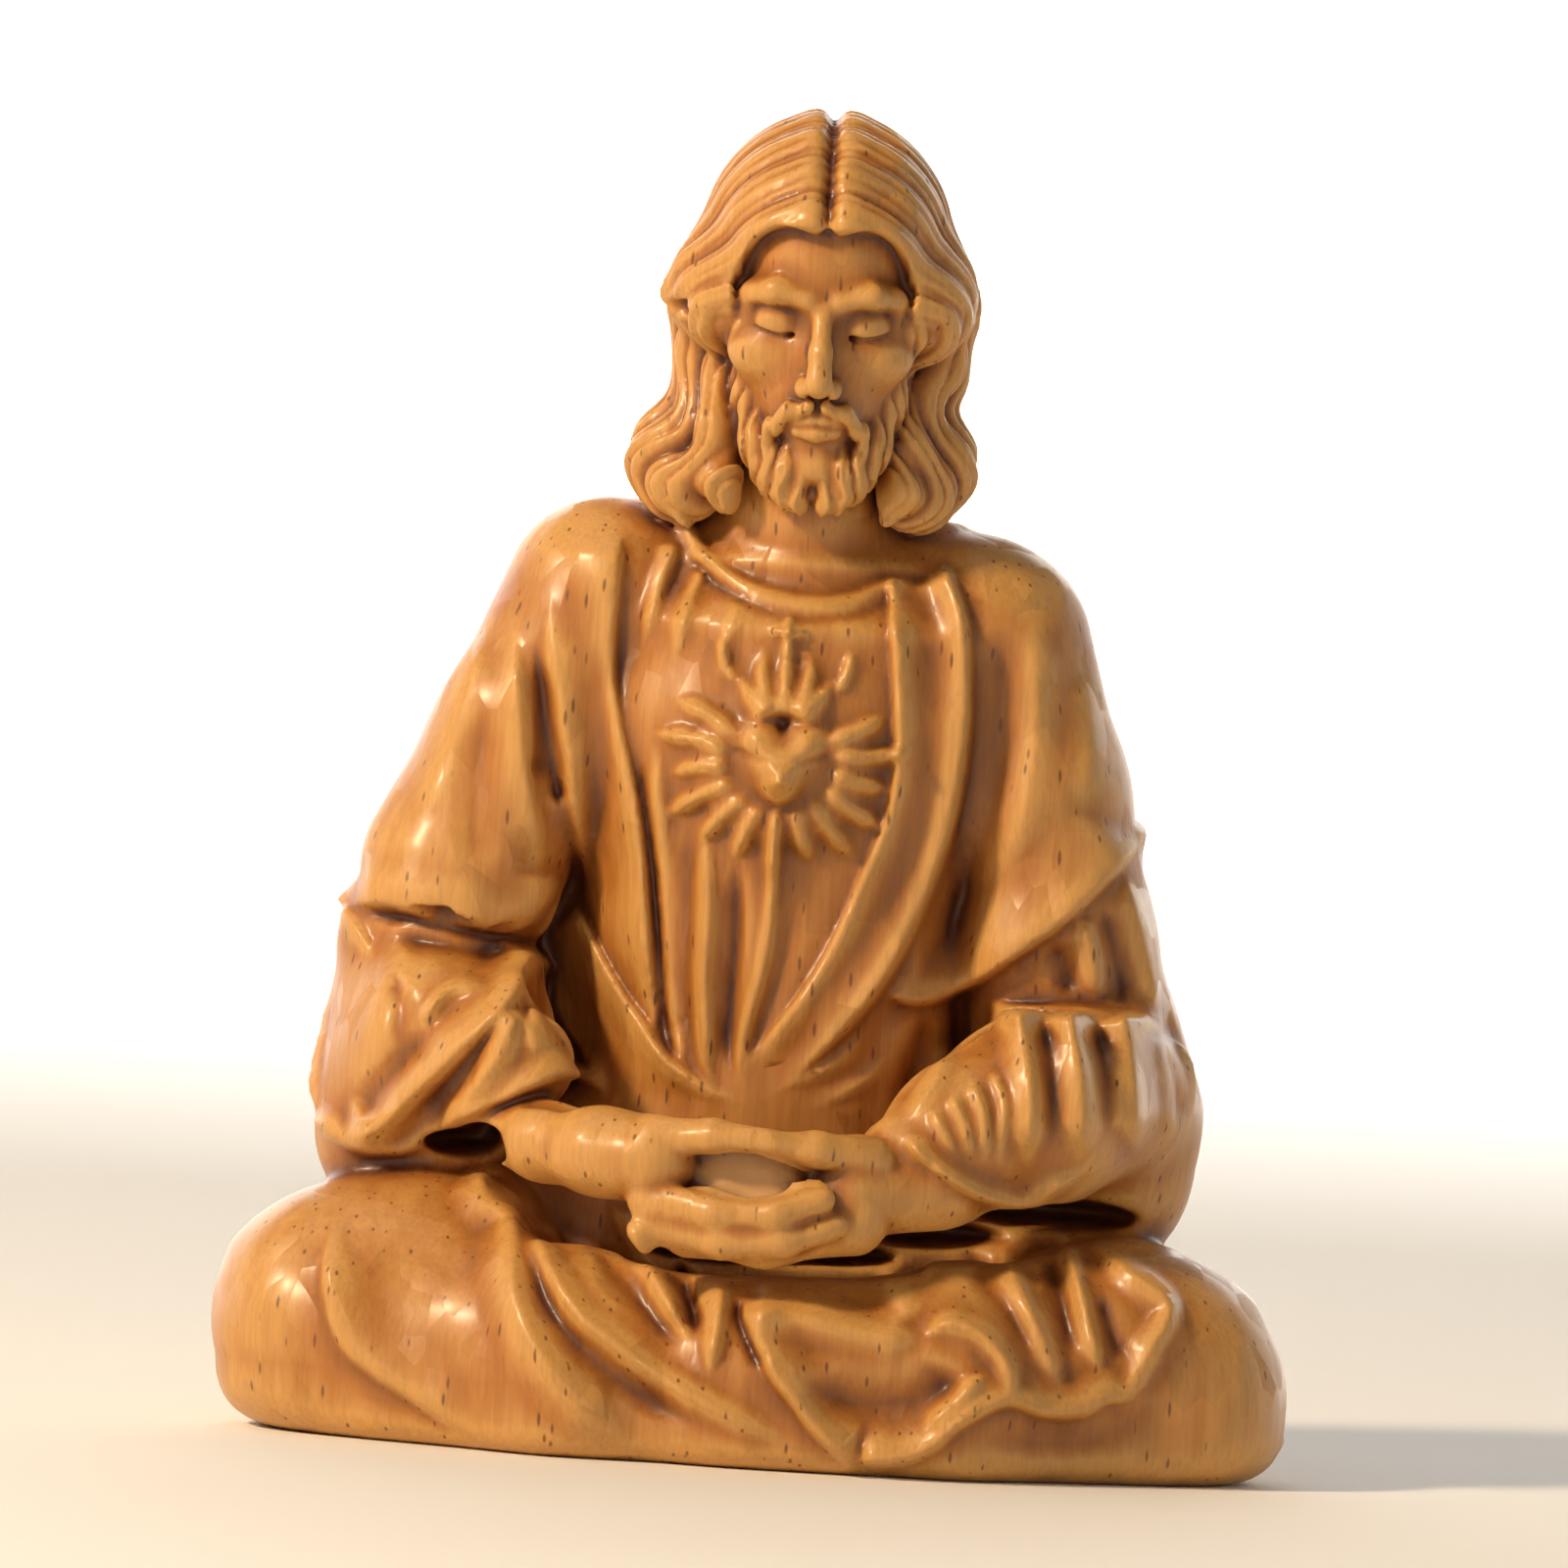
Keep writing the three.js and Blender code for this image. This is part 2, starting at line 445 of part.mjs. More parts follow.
function skirtStrokes() {
  return [
    // over the right shin, at -X
    stroke(1.5, [6, 1.2], [[-46, 24], [-46.4, 18], [-45, 12], [-42, 8.5], [-36, 5], [-29, 1]]),
    stroke(2, [3.4, 4.4], [
      [-31.6, 30.6], [-29.8, 27.4], [-27.2, 25], [-26.8, 21], [-26.2, 17], [-23.6, 11.5], [-19, 6.5],
      [-12.6, 2],
    ], [0.06, 0.2]),
    stroke(-1.1, [2.6, 2.2], [[-25, 22], [-22.5, 16], [-18, 11], [-12, 7], [-5, 3.6]]),
    stroke(1.5, [2.6, 2.2], [
      [-26, 25.4], [-24, 22.8], [-22, 18.8], [-19.2, 15.2], [-15.6, 12.8], [-9.6, 8.8], [-2, 5.2],
      [5, 2.6],
    ], [0.1, 0.2]),
    stroke(1.6, [2.4, 2], [[-17, 27], [-14, 23.8], [-11.8, 20.5], [-9.6, 17], [-7, 13]]),
    stroke(-1, 2.2, [[-18.4, 23], [-15.4, 19.4], [-11.6, 15.4], [-7.6, 11.6]]),
    stroke(-2, [1.4, 1.8], [[-9.2, 22], [-7.8, 18], [-6.2, 13.6]]),
    stroke(1.6, [1.5, 2], [[-4.2, 19.6], [-4.4, 14.6], [-5, 9]], [0.1, 0.4]),
    // over the left shin, at +X
    stroke(-1.2, 1.5, [[-2.6, 18.6], [-1, 14], [1.4, 10]]),
    stroke(2.2, [5, 1], [[-2, 18], [-0.4, 14], [2, 10], [4.6, 7], [7, 4.2], [11, 1]], [0.1, 0.1]),
    stroke(1.6, [3, 3.4], [[-1.2, 17.4], [4, 16.8], [9, 15.8], [14, 15], [18, 14.8]], [0.1, 0.2]),
    stroke(-1.7, 4.4, [[4, 10.4], [8, 8.2], [13, 7.6], [18, 8.6], [22, 12]], [0.3, 0.15]),
    stroke(1.9, [1.8, 2.2], [[17.4, 15], [20.4, 16.8], [24.2, 15.6], [27, 12.4], [27.6, 9]]),
    stroke(1.2, 1.6, [[25, 12], [21.4, 8.6], [18, 5]]),
    stroke(-0.7, 1.8, [[21.6, 26], [23.6, 21.5], [27, 17.4], [30, 13]]),
    stroke(1.2, [1.6, 2.2], [[25, 25.6], [28.6, 19.4], [31.4, 13.6], [33, 9.6]]),
    stroke(-0.9, 1.6, [[29.6, 26], [32, 19.6], [34, 13]]),
    stroke(1.5, [1.4, 2], [[31.4, 28], [34, 21.8], [35.6, 16.6], [37.2, 11.4]]),
    stroke(-0.8, 1.8, [[36.4, 21], [38, 16], [40, 13.6]]),
    stroke(1.7, [1.6, 3], [[34.6, 26.4], [40, 23], [44, 19.8], [42.2, 14.8], [39.6, 10.6]]),
    // the hem
    stroke(2, [4.4, 1], [
      [11, 1.6], [16, 1.8], [19.5, 3.5], [22, 6], [27, 8.7], [31, 7.8], [35, 8], [37.5, 9.5], [40, 10],
      [43, 13.5], [45.4, 16.6],
    ], [0.05, 0.35]),
    stroke(-0.7, 3.4, [[24, 4.6], [31, 4.4], [38, 5.6], [44, 10]]),
    stroke(0.7, 2.8, [[13, 22.8], [15, 19], [16.4, 16]]),
  ];
}

// The back, as [right, up] in the same x and z. The mantle hangs from the left shoulder in long, shallow swags.
function backStrokes() {
  const swag = (rise, ...points) => stroke(rise, [2.4, 5], points, [0.3, 0.35]);
  return [
    swag(1.6, [24, 96], [10, 86], [-8, 80], [-26, 82]),
    swag(1.8, [26, 86], [12, 72], [-6, 63], [-30, 64]),
    swag(1.8, [29, 73], [16, 58], [-2, 47], [-30, 46]),
    swag(1.7, [32, 60], [22, 45], [6, 33], [-24, 30]),
    swag(1.6, [36, 46], [30, 32], [16, 20], [-12, 15]),
    ...[-36, -20, -3, 18, 37].map((u, i) => stroke(1.4, [2, 3.4], [[u * 0.85, 24 - (i % 2) * 7], [u, 2]], [0.5, FULL])),
    stroke(1.5, [3, 0.9], [[-22, 96], [-10, 94], [4, 97], [20, 101]]),
  ];
}

// The right flank, at -X, as [y, up]; the left flank is drawn the same way.
function rightFlankStrokes() {
  return [
    stroke(1.2, 2, [[10, 94], [12, 80], [9, 66], [4, 59]]),
    stroke(1, 2, [[-4, 90], [-3, 76], [-2, 64]]),
    stroke(1.8, [0.8, 4], [[16, 60], [6, 57.6], [-8, 57.5]], [0.1, FULL]),
    stroke(1.4, 2, [[10, 55], [6, 46], [0, 38], [-8, 33]]),
    stroke(1.2, 1.8, [[16, 52], [13, 42], [6, 34]]),
    stroke(0.6, 5, [[20, 24], [4, 22], [-12, 20]]),
    stroke(1.2, 2.6, [[24, 14], [8, 10], [-10, 6]]),
  ];
}

function leftFlankStrokes() {
  return [
    stroke(1, 2.4, [[8, 94], [11, 82], [10, 72]]),
    stroke(2, [0.8, 5], [[-8, 70], [4, 70.5], [16, 75]], [FULL, 0.2]),
    stroke(1.2, 2, [[-2, 66], [0, 54], [-2, 42], [-6, 34]]),
    stroke(1.2, 2, [[8, 68], [10, 54], [6, 40]]),
    stroke(0.6, 5, [[20, 22], [4, 22], [-12, 20]]),
    stroke(1.2, 2.6, [[24, 12], [8, 9], [-10, 5]]),
  ];
}

// Relief maps: the strokes of one side, summed on a flat grid of heights.

class ReliefMap {
  constructor(strokes, low, high) {
    this.low = low;
    this.columns = Math.ceil((high[0] - low[0]) / MAP_CELL) + 1;
    this.rows = Math.ceil((high[1] - low[1]) / MAP_CELL) + 1;
    this.heights = new Float32Array(this.columns * this.rows);
    for (const s of strokes) this.add(s);
  }

  add({ rise, left, right, ends, points }) {
    const curve = new THREE.SplineCurve(points.map(([u, v]) => new THREE.Vector2(u, v)));
    const steps = Math.ceil(curve.getLength() / 1.2);
    const line = curve.getSpacedPoints(Math.max(steps, 2));
    const reach = Math.max(left, right);
    const box = new THREE.Box2().setFromPoints(line).expandByScalar(reach);
    const range = (axis, count) => {
      const from = Math.floor((box.min.getComponent(axis) - this.low[axis]) / MAP_CELL);
      const to = Math.ceil((box.max.getComponent(axis) - this.low[axis]) / MAP_CELL);
      return [clamp(from, 0, count - 1), clamp(to, 0, count - 1)];
    };
    const [i0, i1] = range(0, this.columns);
    const [j0, j1] = range(1, this.rows);
    for (let j = j0; j <= j1; j++)
      for (let i = i0; i <= i1; i++) {
        const near = nearest(line, this.low[0] + i * MAP_CELL, this.low[1] + j * MAP_CELL);
        const start = ends[0] ? smoothstep(near.along, 0, ends[0]) : 1;
        const end = ends[1] ? smoothstep(1 - near.along, 0, ends[1]) : 1;
        const t = near.distance / ((near.side > 0 ? left : right) * (0.35 + 0.65 * start * end));
        if (t >= 1) continue;
        const crest = Math.max((1 - Math.hypot(t, 0.25)) / 0.75, 0) ** 1.3;
        this.heights[j * this.columns + i] += rise * start * end * crest;
      }
  }

  at(u, v) {
    const fu = clamp((u - this.low[0]) / MAP_CELL, 0, this.columns - 1.001);
    const fv = clamp((v - this.low[1]) / MAP_CELL, 0, this.rows - 1.001);
    const [i, j] = [Math.floor(fu), Math.floor(fv)];
    const at = (a, b) => this.heights[(j + b) * this.columns + i + a];
    return lerp(lerp(at(0, 0), at(1, 0), fu - i), lerp(at(0, 1), at(1, 1), fu - i), fv - j);
  }
}

// The nearest point of a polyline: how far it is, on which side, and how far along the line.
function nearest(line, u, v) {
  let best = { distance: Infinity, side: 0, along: 0 };
  for (let i = 0; i + 1 < line.length; i++) {
    const [a, b] = [line[i], line[i + 1]];
    const [du, dv] = [b.x - a.x, b.y - a.y];
    const [pu, pv] = [u - a.x, v - a.y];
    const t = clamp((pu * du + pv * dv) / (du * du + dv * dv), 0, 1);
    const distance = Math.hypot(pu - t * du, pv - t * dv);
    if (distance < best.distance) best = { distance, side: du * pv - dv * pu, along: (i + t) / (line.length - 1) };
  }
  return best;
}

// The carved block, sampled on a grid

class Block {
  constructor() {
    this.low = [-WIDTH / 2 - MARGIN, -DEPTH / 2 - MARGIN - 2, -MARGIN];
    const high = [WIDTH / 2 + MARGIN, DEPTH / 2 + MARGIN, SOLE + HEIGHT + MARGIN];
    this.heights = [this.low[2]];
    while (this.heights.at(-1) < high[2]) this.heights.push(this.heights.at(-1) + this.cellAt(this.heights.at(-1)));
    const flat = [0, 1].map((axis) => Math.ceil((high[axis] - this.low[axis]) / CELL) + 1);
    this.counts = [...flat, this.heights.length];
    const [nx, ny, nz] = this.counts;
    this.strides = [1, nx, nx * ny];
    this.values = new Float32Array(nx * ny * nz);
  }

  cellAt(z) {
    return lerp(CELL, HEAD_CELL, smoothstep(z, ...NECK));
  }

  // Where a point of the grid lies, from its three numbers, which needn't be whole.
  position(i, j, k) {
    const row = clamp(Math.floor(k), 0, this.heights.length - 2);
    const z = lerp(this.heights[row], this.heights[row + 1], k - row);
    const share = this.cellAt(z) / CELL;
    return [(this.low[0] + i * CELL) * share, (this.low[1] + j * CELL) * share, z];
  }

  forEach(visit) {
    const [nx, ny, nz] = this.counts;
    for (let k = 0; k < nz; k++)
      for (let j = 0; j < ny; j++)
        for (let i = 0; i < nx; i++) visit(i, j, k, (k * ny + j) * nx + i);
  }

  // Samples the form. A brick of cells that its surface can't reach takes the value at its middle.
  fill(form) {
    const brick = 6;
    const reach = brick * CELL * 1.6;
    const [nx, ny, nz] = this.counts;
    const starts = (count) => Array.from({ length: Math.ceil(count / brick) }, (_, i) => i * brick);
    for (const k0 of starts(nz))
      for (const j0 of starts(ny))
        for (const i0 of starts(nx)) {
          const middle = form(...this.position(i0 + brick / 2, j0 + brick / 2, k0 + brick / 2));
          for (let k = k0; k < Math.min(k0 + brick, nz); k++)
            for (let j = j0; j < Math.min(j0 + brick, ny); j++)
              for (let i = i0; i < Math.min(i0 + brick, nx); i++)
                this.values[(k * ny + j) * nx + i] = Math.abs(middle) > reach ? middle : form(...this.position(i, j, k));
        }
  }

  // Lifts the surface by the relief of whichever side it faces.
  carve(reliefAt) {
    const bare = this.values.slice();
    const [nx, ny, nz] = this.counts;
    const [sx, sy, sz] = this.strides;
    this.forEach((i, j, k, n) => {
      if (Math.abs(bare[n]) > BAND || !i || !j || !k || i === nx - 1 || j === ny - 1 || k === nz - 1) return;
      const normal = [bare[n + sx] - bare[n - sx], bare[n + sy] - bare[n - sy], bare[n + sz] - bare[n - sz]];
      const length = Math.hypot(...normal) || 1;
      this.values[n] -= reliefAt(...this.position(i, j, k), normal[0] / length, normal[1] / length);
    });
  }

  apply(change) {
    this.values.forEach((d, n) => {
      this.values[n] = change(d, n);
    });
  }

  cut(form, fillet) {
    this.forEach((i, j, k, n) => {
      const [x, y, z] = this.position(i, j, k);
      this.values[n] = -softMin(-softCut(this.values[n], form(x, y, z), fillet), z - SOLE, 3.4 + 3 * smoothstep(Math.abs(x), 40, 56));
    });
  }

  // Fills every hollow that the air round the figure doesn't reach, and drops crumbs that don't touch the body.
  keepOneBody() {
    const reach = (start, inside) => {
      const seen = new Uint8Array(this.values.length);
      const stack = [start];
      seen[start] = 1;
      while (stack.length) {
        const n = stack.pop();
        for (const stride of this.strides)
          for (const next of [n - stride, n + stride]) {
            if (next < 0 || next >= seen.length || seen[next] || this.values[next] < 0 !== inside) continue;
            seen[next] = 1;
            stack.push(next);
          }
      }
      return seen;
    };
    const middle = [0, 0, 20].map((x, axis) => Math.round((x - this.low[axis]) / CELL)); // a point well inside
    const air = reach(0, false);
    this.apply((d, n) => (d >= 0 && !air[n] ? -0.01 : d));
    const body = reach(middle.reduce((n, count, axis) => n + count * this.strides[axis], 0), true);
    this.apply((d, n) => (d < 0 && !body[n] ? 0.01 : d));
  }

  // Fills the corners where two surfaces would share an edge or a point, so that the mesh stays a clean solid.
  closeContacts() {
    const [nx, ny, nz] = this.counts;
    const [sx, sy, sz] = this.strides;
    const faces = [[sx, sy], [sy, sz], [sx, sz]];
    const inside = (n) => this.values[n] < 0;
    let found = true;
    const fill = (n) => {
      this.values[n] = -0.01;
      found = true;
    };
    while (found) {
      found = false;
      this.forEach((i, j, k, n) => {
        if (i === nx - 1 || j === ny - 1 || k === nz - 1) return;
        for (const [a, b] of faces) {
          const [p, q, r, s] = [n, n + a, n + a + b, n + b];
          if (inside(p) === inside(r) && inside(q) === inside(s) && inside(p) !== inside(q)) fill(inside(p) ? q : p);
        }
        const cell = [n, n + sx + sy + sz, n + sx, n + sy + sz, n + sy, n + sx + sz, n + sz, n + sx + sy];
        const count = cell.filter(inside).length;
        if (count !== 2 && count !== 6) return;
        for (let c = 0; c < 8; c += 2) {
          const odd = inside(cell[c]) === (count === 2);
          if (odd && inside(cell[c]) === inside(cell[c + 1])) fill(count === 2 ? cell[(c + 2) % 8] : cell[c]);
        }
      });
    }
  }

  // Meshes the zero surface: one vertex in each cell that it crosses, and one quad across each grid edge.
  mesh() {
    const [nx, ny, nz] = this.counts;
    const vertexOf = new Int32Array(this.values.length).fill(-1);
    const positions = [];
    const corners = Array.from({ length: 8 }, (_, c) => [c & 1, (c >> 1) & 1, c >> 2]);
    const edges = corners.flatMap((a, i) =>
      corners.flatMap((b, j) => (j > i && Math.abs(a[0] - b[0]) + Math.abs(a[1] - b[1]) + Math.abs(a[2] - b[2]) === 1 ? [[i, j]] : [])),
    );
    this.forEach((i, j, k, n) => {
      if (i === nx - 1 || j === ny - 1 || k === nz - 1) return;
      const at = corners.map(([a, b, c]) => this.values[n + a + b * this.strides[1] + c * this.strides[2]]);
      const sum = [0, 0, 0];
      let crossings = 0;
      for (const [a, b] of edges) {
        if (at[a] < 0 === at[b] < 0) continue;
        const t = at[a] / (at[a] - at[b]);
        for (let axis = 0; axis < 3; axis++) sum[axis] += lerp(corners[a][axis], corners[b][axis], t);
        crossings++;
      }
      if (!crossings) return;
      vertexOf[n] = positions.length / 3;
      positions.push(...this.position(...[i, j, k].map((start, axis) => start + sum[axis] / crossings)));
    });
    const triangles = [];
    this.forEach((i, j, k, n) => {
      for (let axis = 0; axis < 3; axis++) {
        const next = n + this.strides[axis];
        if ([i, j, k][axis] === this.counts[axis] - 1 || this.values[n] < 0 === this.values[next] < 0) continue;
        const [u, v] = [this.strides[(axis + 1) % 3], this.strides[(axis + 2) % 3]];
        const ring = [n, n - u, n - u - v, n - v].map((cell) => vertexOf[cell]);
        if (this.values[n] >= 0) ring.reverse();
        triangles.push(ring[0], ring[1], ring[2], ring[0], ring[2], ring[3]);
      }
    });
    return { positions, triangles };
  }
}

// Thins a closed mesh out by folding up the edges that change its shape least.

class Thinner {
  constructor({ positions, triangles }) {
    this.at = Float64Array.from(positions);
    this.faces = [];
    this.facesOf = Array.from({ length: positions.length / 3 }, () => new Set());
    for (let t = 0; t < triangles.length; t += 3) {
      const face = [triangles[t], triangles[t + 1], triangles[t + 2]];
      for (const v of face) this.facesOf[v].add(this.faces.length);
      this.faces.push(face);
    }
    this.alive = this.faces.length;
    this.errors = new Float64Array(this.facesOf.length * 10);
    for (const face of this.faces) this.addPlane(face);
    this.stamp = new Int32Array(this.facesOf.length);
    this.heap = [];
    this.facesOf.forEach((_, v) => this.neighbours(v).forEach((w) => w > v && this.push(v, w)));
  }

  point(v) {
    return [this.at[3 * v], this.at[3 * v + 1], this.at[3 * v + 2]];
  }

  // The normal of a face, with its length twice the face's area. A moved vertex can stand at "to".
  normal(face, moved = -1, to = null) {
    const [a, b, c] = face.map((v) => (v === moved ? to : this.point(v)));
    const [e, f] = [[b[0] - a[0], b[1] - a[1], b[2] - a[2]], [c[0] - a[0], c[1] - a[1], c[2] - a[2]]];
    return [e[1] * f[2] - e[2] * f[1], e[2] * f[0] - e[0] * f[2], e[0] * f[1] - e[1] * f[0]];
  }

  addPlane(face) {
    const n = this.normal(face);
    const area = Math.hypot(...n);
    if (area < 1e-9) return;
    const [a, b, c] = n.map((x) => x / area);
    const p = this.point(face[0]);
    const weight = area * (1 + 2 * smoothstep(p[2], 100, 106)); // the head keeps more of its detail
    const d = -(a * p[0] + b * p[1] + c * p[2]);
    const plane = [a * a, a * b, a * c, a * d, b * b, b * c, b * d, c * c, c * d, d * d];
    for (const v of face) plane.forEach((x, i) => (this.errors[10 * v + i] += x * weight));
  }

  neighbours(v) {
    const found = new Set();
    for (const f of this.facesOf[v]) for (const w of this.faces[f]) if (w !== v) found.add(w);
    return found;
  }

  // The cheapest place for the vertex that an edge folds into, and what it costs.
  fold(v, w) {
    const q = Array.from({ length: 10 }, (_, i) => this.errors[10 * v + i] + this.errors[10 * w + i]);
    const cost = ([x, y, z]) =>
      q[0] * x * x + 2 * q[1] * x * y + 2 * q[2] * x * z + 2 * q[3] * x + q[4] * y * y + 2 * q[5] * y * z + 2 * q[6] * y + q[7] * z * z + 2 * q[8] * z + q[9];
    const [a, b] = [this.point(v), this.point(w)];
    const middle = a.map((x, i) => (x + b[i]) / 2);
    const places = [a, b, middle];
    const matrix = new THREE.Matrix3().set(q[0], q[1], q[2], q[1], q[4], q[5], q[2], q[5], q[7]);
    const size = q[0] + q[4] + q[7];
    if (Math.abs(matrix.determinant()) > 1e-4 * size ** 3) {
      const best = new THREE.Vector3(-q[3], -q[6], -q[8]).applyMatrix3(matrix.invert()).toArray();
      const reach = Math.hypot(...a.map((x, i) => x - b[i]));
      if (Math.hypot(...best.map((x, i) => x - middle[i])) < reach) places.push(best);
    }
    return places.map((place) => ({ place, cost: cost(place) })).reduce((x, y) => (y.cost < x.cost ? y : x));
  }

  push(v, w) {
    const { place, cost } = this.fold(v, w);
    const item = { cost, v, w, place, stamp: this.stamp[v] + this.stamp[w] };
    let i = this.heap.push(item) - 1;
    while (i && this.heap[(i - 1) >> 1].cost > item.cost) {
      this.heap[i] = this.heap[(i - 1) >> 1];
      i = (i - 1) >> 1;
    }
    this.heap[i] = item;
  }

  pop() {
    const top = this.heap[0];
    const item = this.heap.pop();
    const size = this.heap.length;
    let i = 0;
    while (size && 2 * i + 1 < size) {
      let child = 2 * i + 1;
      if (child + 1 < size && this.heap[child + 1].cost < this.heap[child].cost) child++;
      if (this.heap[child].cost >= item.cost) break;
      this.heap[i] = this.heap[child];
      i = child;
    }
    if (size) this.heap[i] = item;
    return top;
  }

  // Whether an edge can fold up with no face turning over and no second surface touched.
  allowed({ v, w, place }) {
    const other = this.neighbours(w);
    const shared = [...this.neighbours(v)].filter((x) => other.has(x));
    if (shared.length !== 2) return false;
    if (shared.some((x) => this.facesOf[x].size <= 3)) return false;
    for (const [from, to] of [[v, w], [w, v]])
      for (const f of this.facesOf[from]) {
        if (this.faces[f].includes(to)) continue;
        const before = this.normal(this.faces[f]);
        const after = this.normal(this.faces[f], from, place);
        const dot = before[0] * after[0] + before[1] * after[1] + before[2] * after[2];
        const size = Math.hypot(...after);
        if (size < 1e-3 || dot < 0.35 * Math.hypot(...before) * size) return false;
      }
    return true;
  }

  collapse({ v, w, place }) {
    this.at.set(place, 3 * v);
    for (const f of [...this.facesOf[w]]) {
      const face = this.faces[f];
      if (face.includes(v)) {
        for (const x of face) this.facesOf[x].delete(f);
        this.faces[f] = null;
        this.alive--;
      } else {
        face[face.indexOf(w)] = v;
        this.facesOf[v].add(f);
      }
    }
    this.facesOf[w].clear();
    for (let i = 0; i < 10; i++) this.errors[10 * v + i] += this.errors[10 * w + i];
    this.stamp[v] += 1;
    this.stamp[w] += 1e6;
    for (const x of this.neighbours(v)) {
      this.stamp[x] += 1;
    }
    for (const x of this.neighbours(v)) for (const y of this.neighbours(x)) this.push(Math.min(x, y), Math.max(x, y));
  }

  thin(target) {
    while (this.alive > target && this.heap.length) {
      const item = this.pop();
      if (item.stamp !== this.stamp[item.v] + this.stamp[item.w]) continue;
      if (!this.facesOf[item.v].size || !this.facesOf[item.w].size || !this.allowed(item)) continue;
      this.collapse(item);
    }
    const geometry = new THREE.BufferGeometry();
    const sawn = ([x, y, z]) => [x, y, Math.abs(z - SOLE) < FLAT ? SOLE : z];
    const corners = this.faces.filter(Boolean).flatMap((face) => face.flatMap((v) => sawn(this.point(v))));
    geometry.setAttribute("position", new THREE.Float32BufferAttribute(corners, 3));
    return geometry;
  }
}

// Assembly

function bareFigure() {
  const body = blend(4, legs(), trunk());
  const arms = [rightArm(), leftArm()];
  const [hand, skull, cap, hair] = [hands(), head(), hairCap(), fallingHair()];
  return (x, y, z) => {
    let d = softMin(body(x, y, z), softMin(arms[0](x, y, z), arms[1](x, y, z), 1), 2);
    if (z < 47) d = softMin(d, hand(x, y, z), 1);
    if (z < 92) return d;
    const p = headFrame(x, y, z);
    const locks = softMin(cap(...p), hair(x, y, z), 1.5);
    const relief = Math.abs(locks) < BAND ? hairRelief(z, p) : 0;
    return softMin(softMin(d, skull(...p), 1), locks - relief, 0.8);
  };
}

function carvedGeometry() {
  const block = new Block();
  block.fill(bareFigure());
  const front = new ReliefMap(frontStrokes(), [-64, -4], [64, 112]);
  const back = new ReliefMap(backStrokes(), [-64, -4], [64, 112]);
  const flanks = [rightFlankStrokes(), leftFlankStrokes()].map((s) => new ReliefMap(s, [-44, -4], [44, 112]));
  const [up, along] = [Math.cos(VIEW_TILT), Math.sin(VIEW_TILT)];
  block.carve((x, y, z, nx, ny) => {
    const toFront = smoothstep(-ny, 0, 0.35);
    const toBack = smoothstep(ny, 0.1, 0.45);
    const toSide = (1 - toFront - toBack) * smoothstep(Math.abs(nx), 0.2, 0.6);
    return toFront * front.at(x, z * up + y * along) + toBack * back.at(x, z) + toSide * flanks[nx < 0 ? 0 : 1].at(y, z);
  });
  block.cut(deepCuts(), 0.8);
  block.closeContacts();
  block.keepOneBody();
  return new Thinner(block.mesh()).thin(TRIANGLES);
}

// Puts the origin at the middle of the box on the ground.
function centred(geometry) {
  geometry.computeBoundingBox();
  const middle = geometry.boundingBox.getCenter(new THREE.Vector3());
  return geometry.translate(-middle.x, -middle.y, -geometry.boundingBox.min.z);
}

const wood = new THREE.MeshStandardMaterial({ color: 0xc5863f, roughness: 0.38, metalness: 0 });
const figure = new THREE.Group();
const statue = new THREE.Mesh(centred(carvedGeometry()), wood);
statue.name = "statue";
figure.add(statue);

export default figure;
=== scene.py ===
"""The looks of a carved devotional figure: honey-varnished beech, cut from one block.

The figure sits cross-legged with its hands joined in its lap. Its form is a signed distance in millimetres:
rounded masses are blended into a body, strokes of carving are laid over its front, back and sides, and the
surface is meshed finely enough to hold the locks of hair, the fingers and the folds. Everything is then
scaled to metres.
"""

from __future__ import annotations

import logging
import math
from concurrent.futures import ThreadPoolExecutor
from dataclasses import dataclass, field
from typing import Callable, Iterable, Sequence

import bpy
import numpy as np
from mathutils import Matrix, Vector

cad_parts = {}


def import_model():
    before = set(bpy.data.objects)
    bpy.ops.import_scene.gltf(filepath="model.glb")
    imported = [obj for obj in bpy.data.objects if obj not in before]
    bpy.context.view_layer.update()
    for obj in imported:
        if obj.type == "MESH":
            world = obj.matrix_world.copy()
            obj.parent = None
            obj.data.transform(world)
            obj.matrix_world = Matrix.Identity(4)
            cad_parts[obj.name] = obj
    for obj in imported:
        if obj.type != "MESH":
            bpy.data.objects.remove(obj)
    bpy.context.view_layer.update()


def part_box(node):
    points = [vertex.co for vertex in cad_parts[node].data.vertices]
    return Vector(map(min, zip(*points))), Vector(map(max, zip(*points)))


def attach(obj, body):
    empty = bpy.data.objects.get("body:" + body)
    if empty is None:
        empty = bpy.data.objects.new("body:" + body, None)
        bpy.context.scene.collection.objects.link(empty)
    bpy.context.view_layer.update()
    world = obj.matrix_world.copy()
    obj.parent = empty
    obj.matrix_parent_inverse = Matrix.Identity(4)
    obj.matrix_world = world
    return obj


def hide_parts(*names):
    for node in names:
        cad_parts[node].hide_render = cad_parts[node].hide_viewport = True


LOG = logging.getLogger("statue")
MM = 0.001

Array = np.ndarray
Form = Callable[[Array, Array, Array], Array]
Point = Sequence[float]

VIEW_TILT = math.radians(3.0)  # the front strokes are drawn as seen from this far above level
HEAD_CENTRE = (0.3, -4.0, 125.0)
HEAD_BOW = math.radians(10.0)
SOLE = 1.4  # height at which the block is sawn off flat
FULL = 0  # an end of a stroke that doesn't taper


# Blending of signed distances


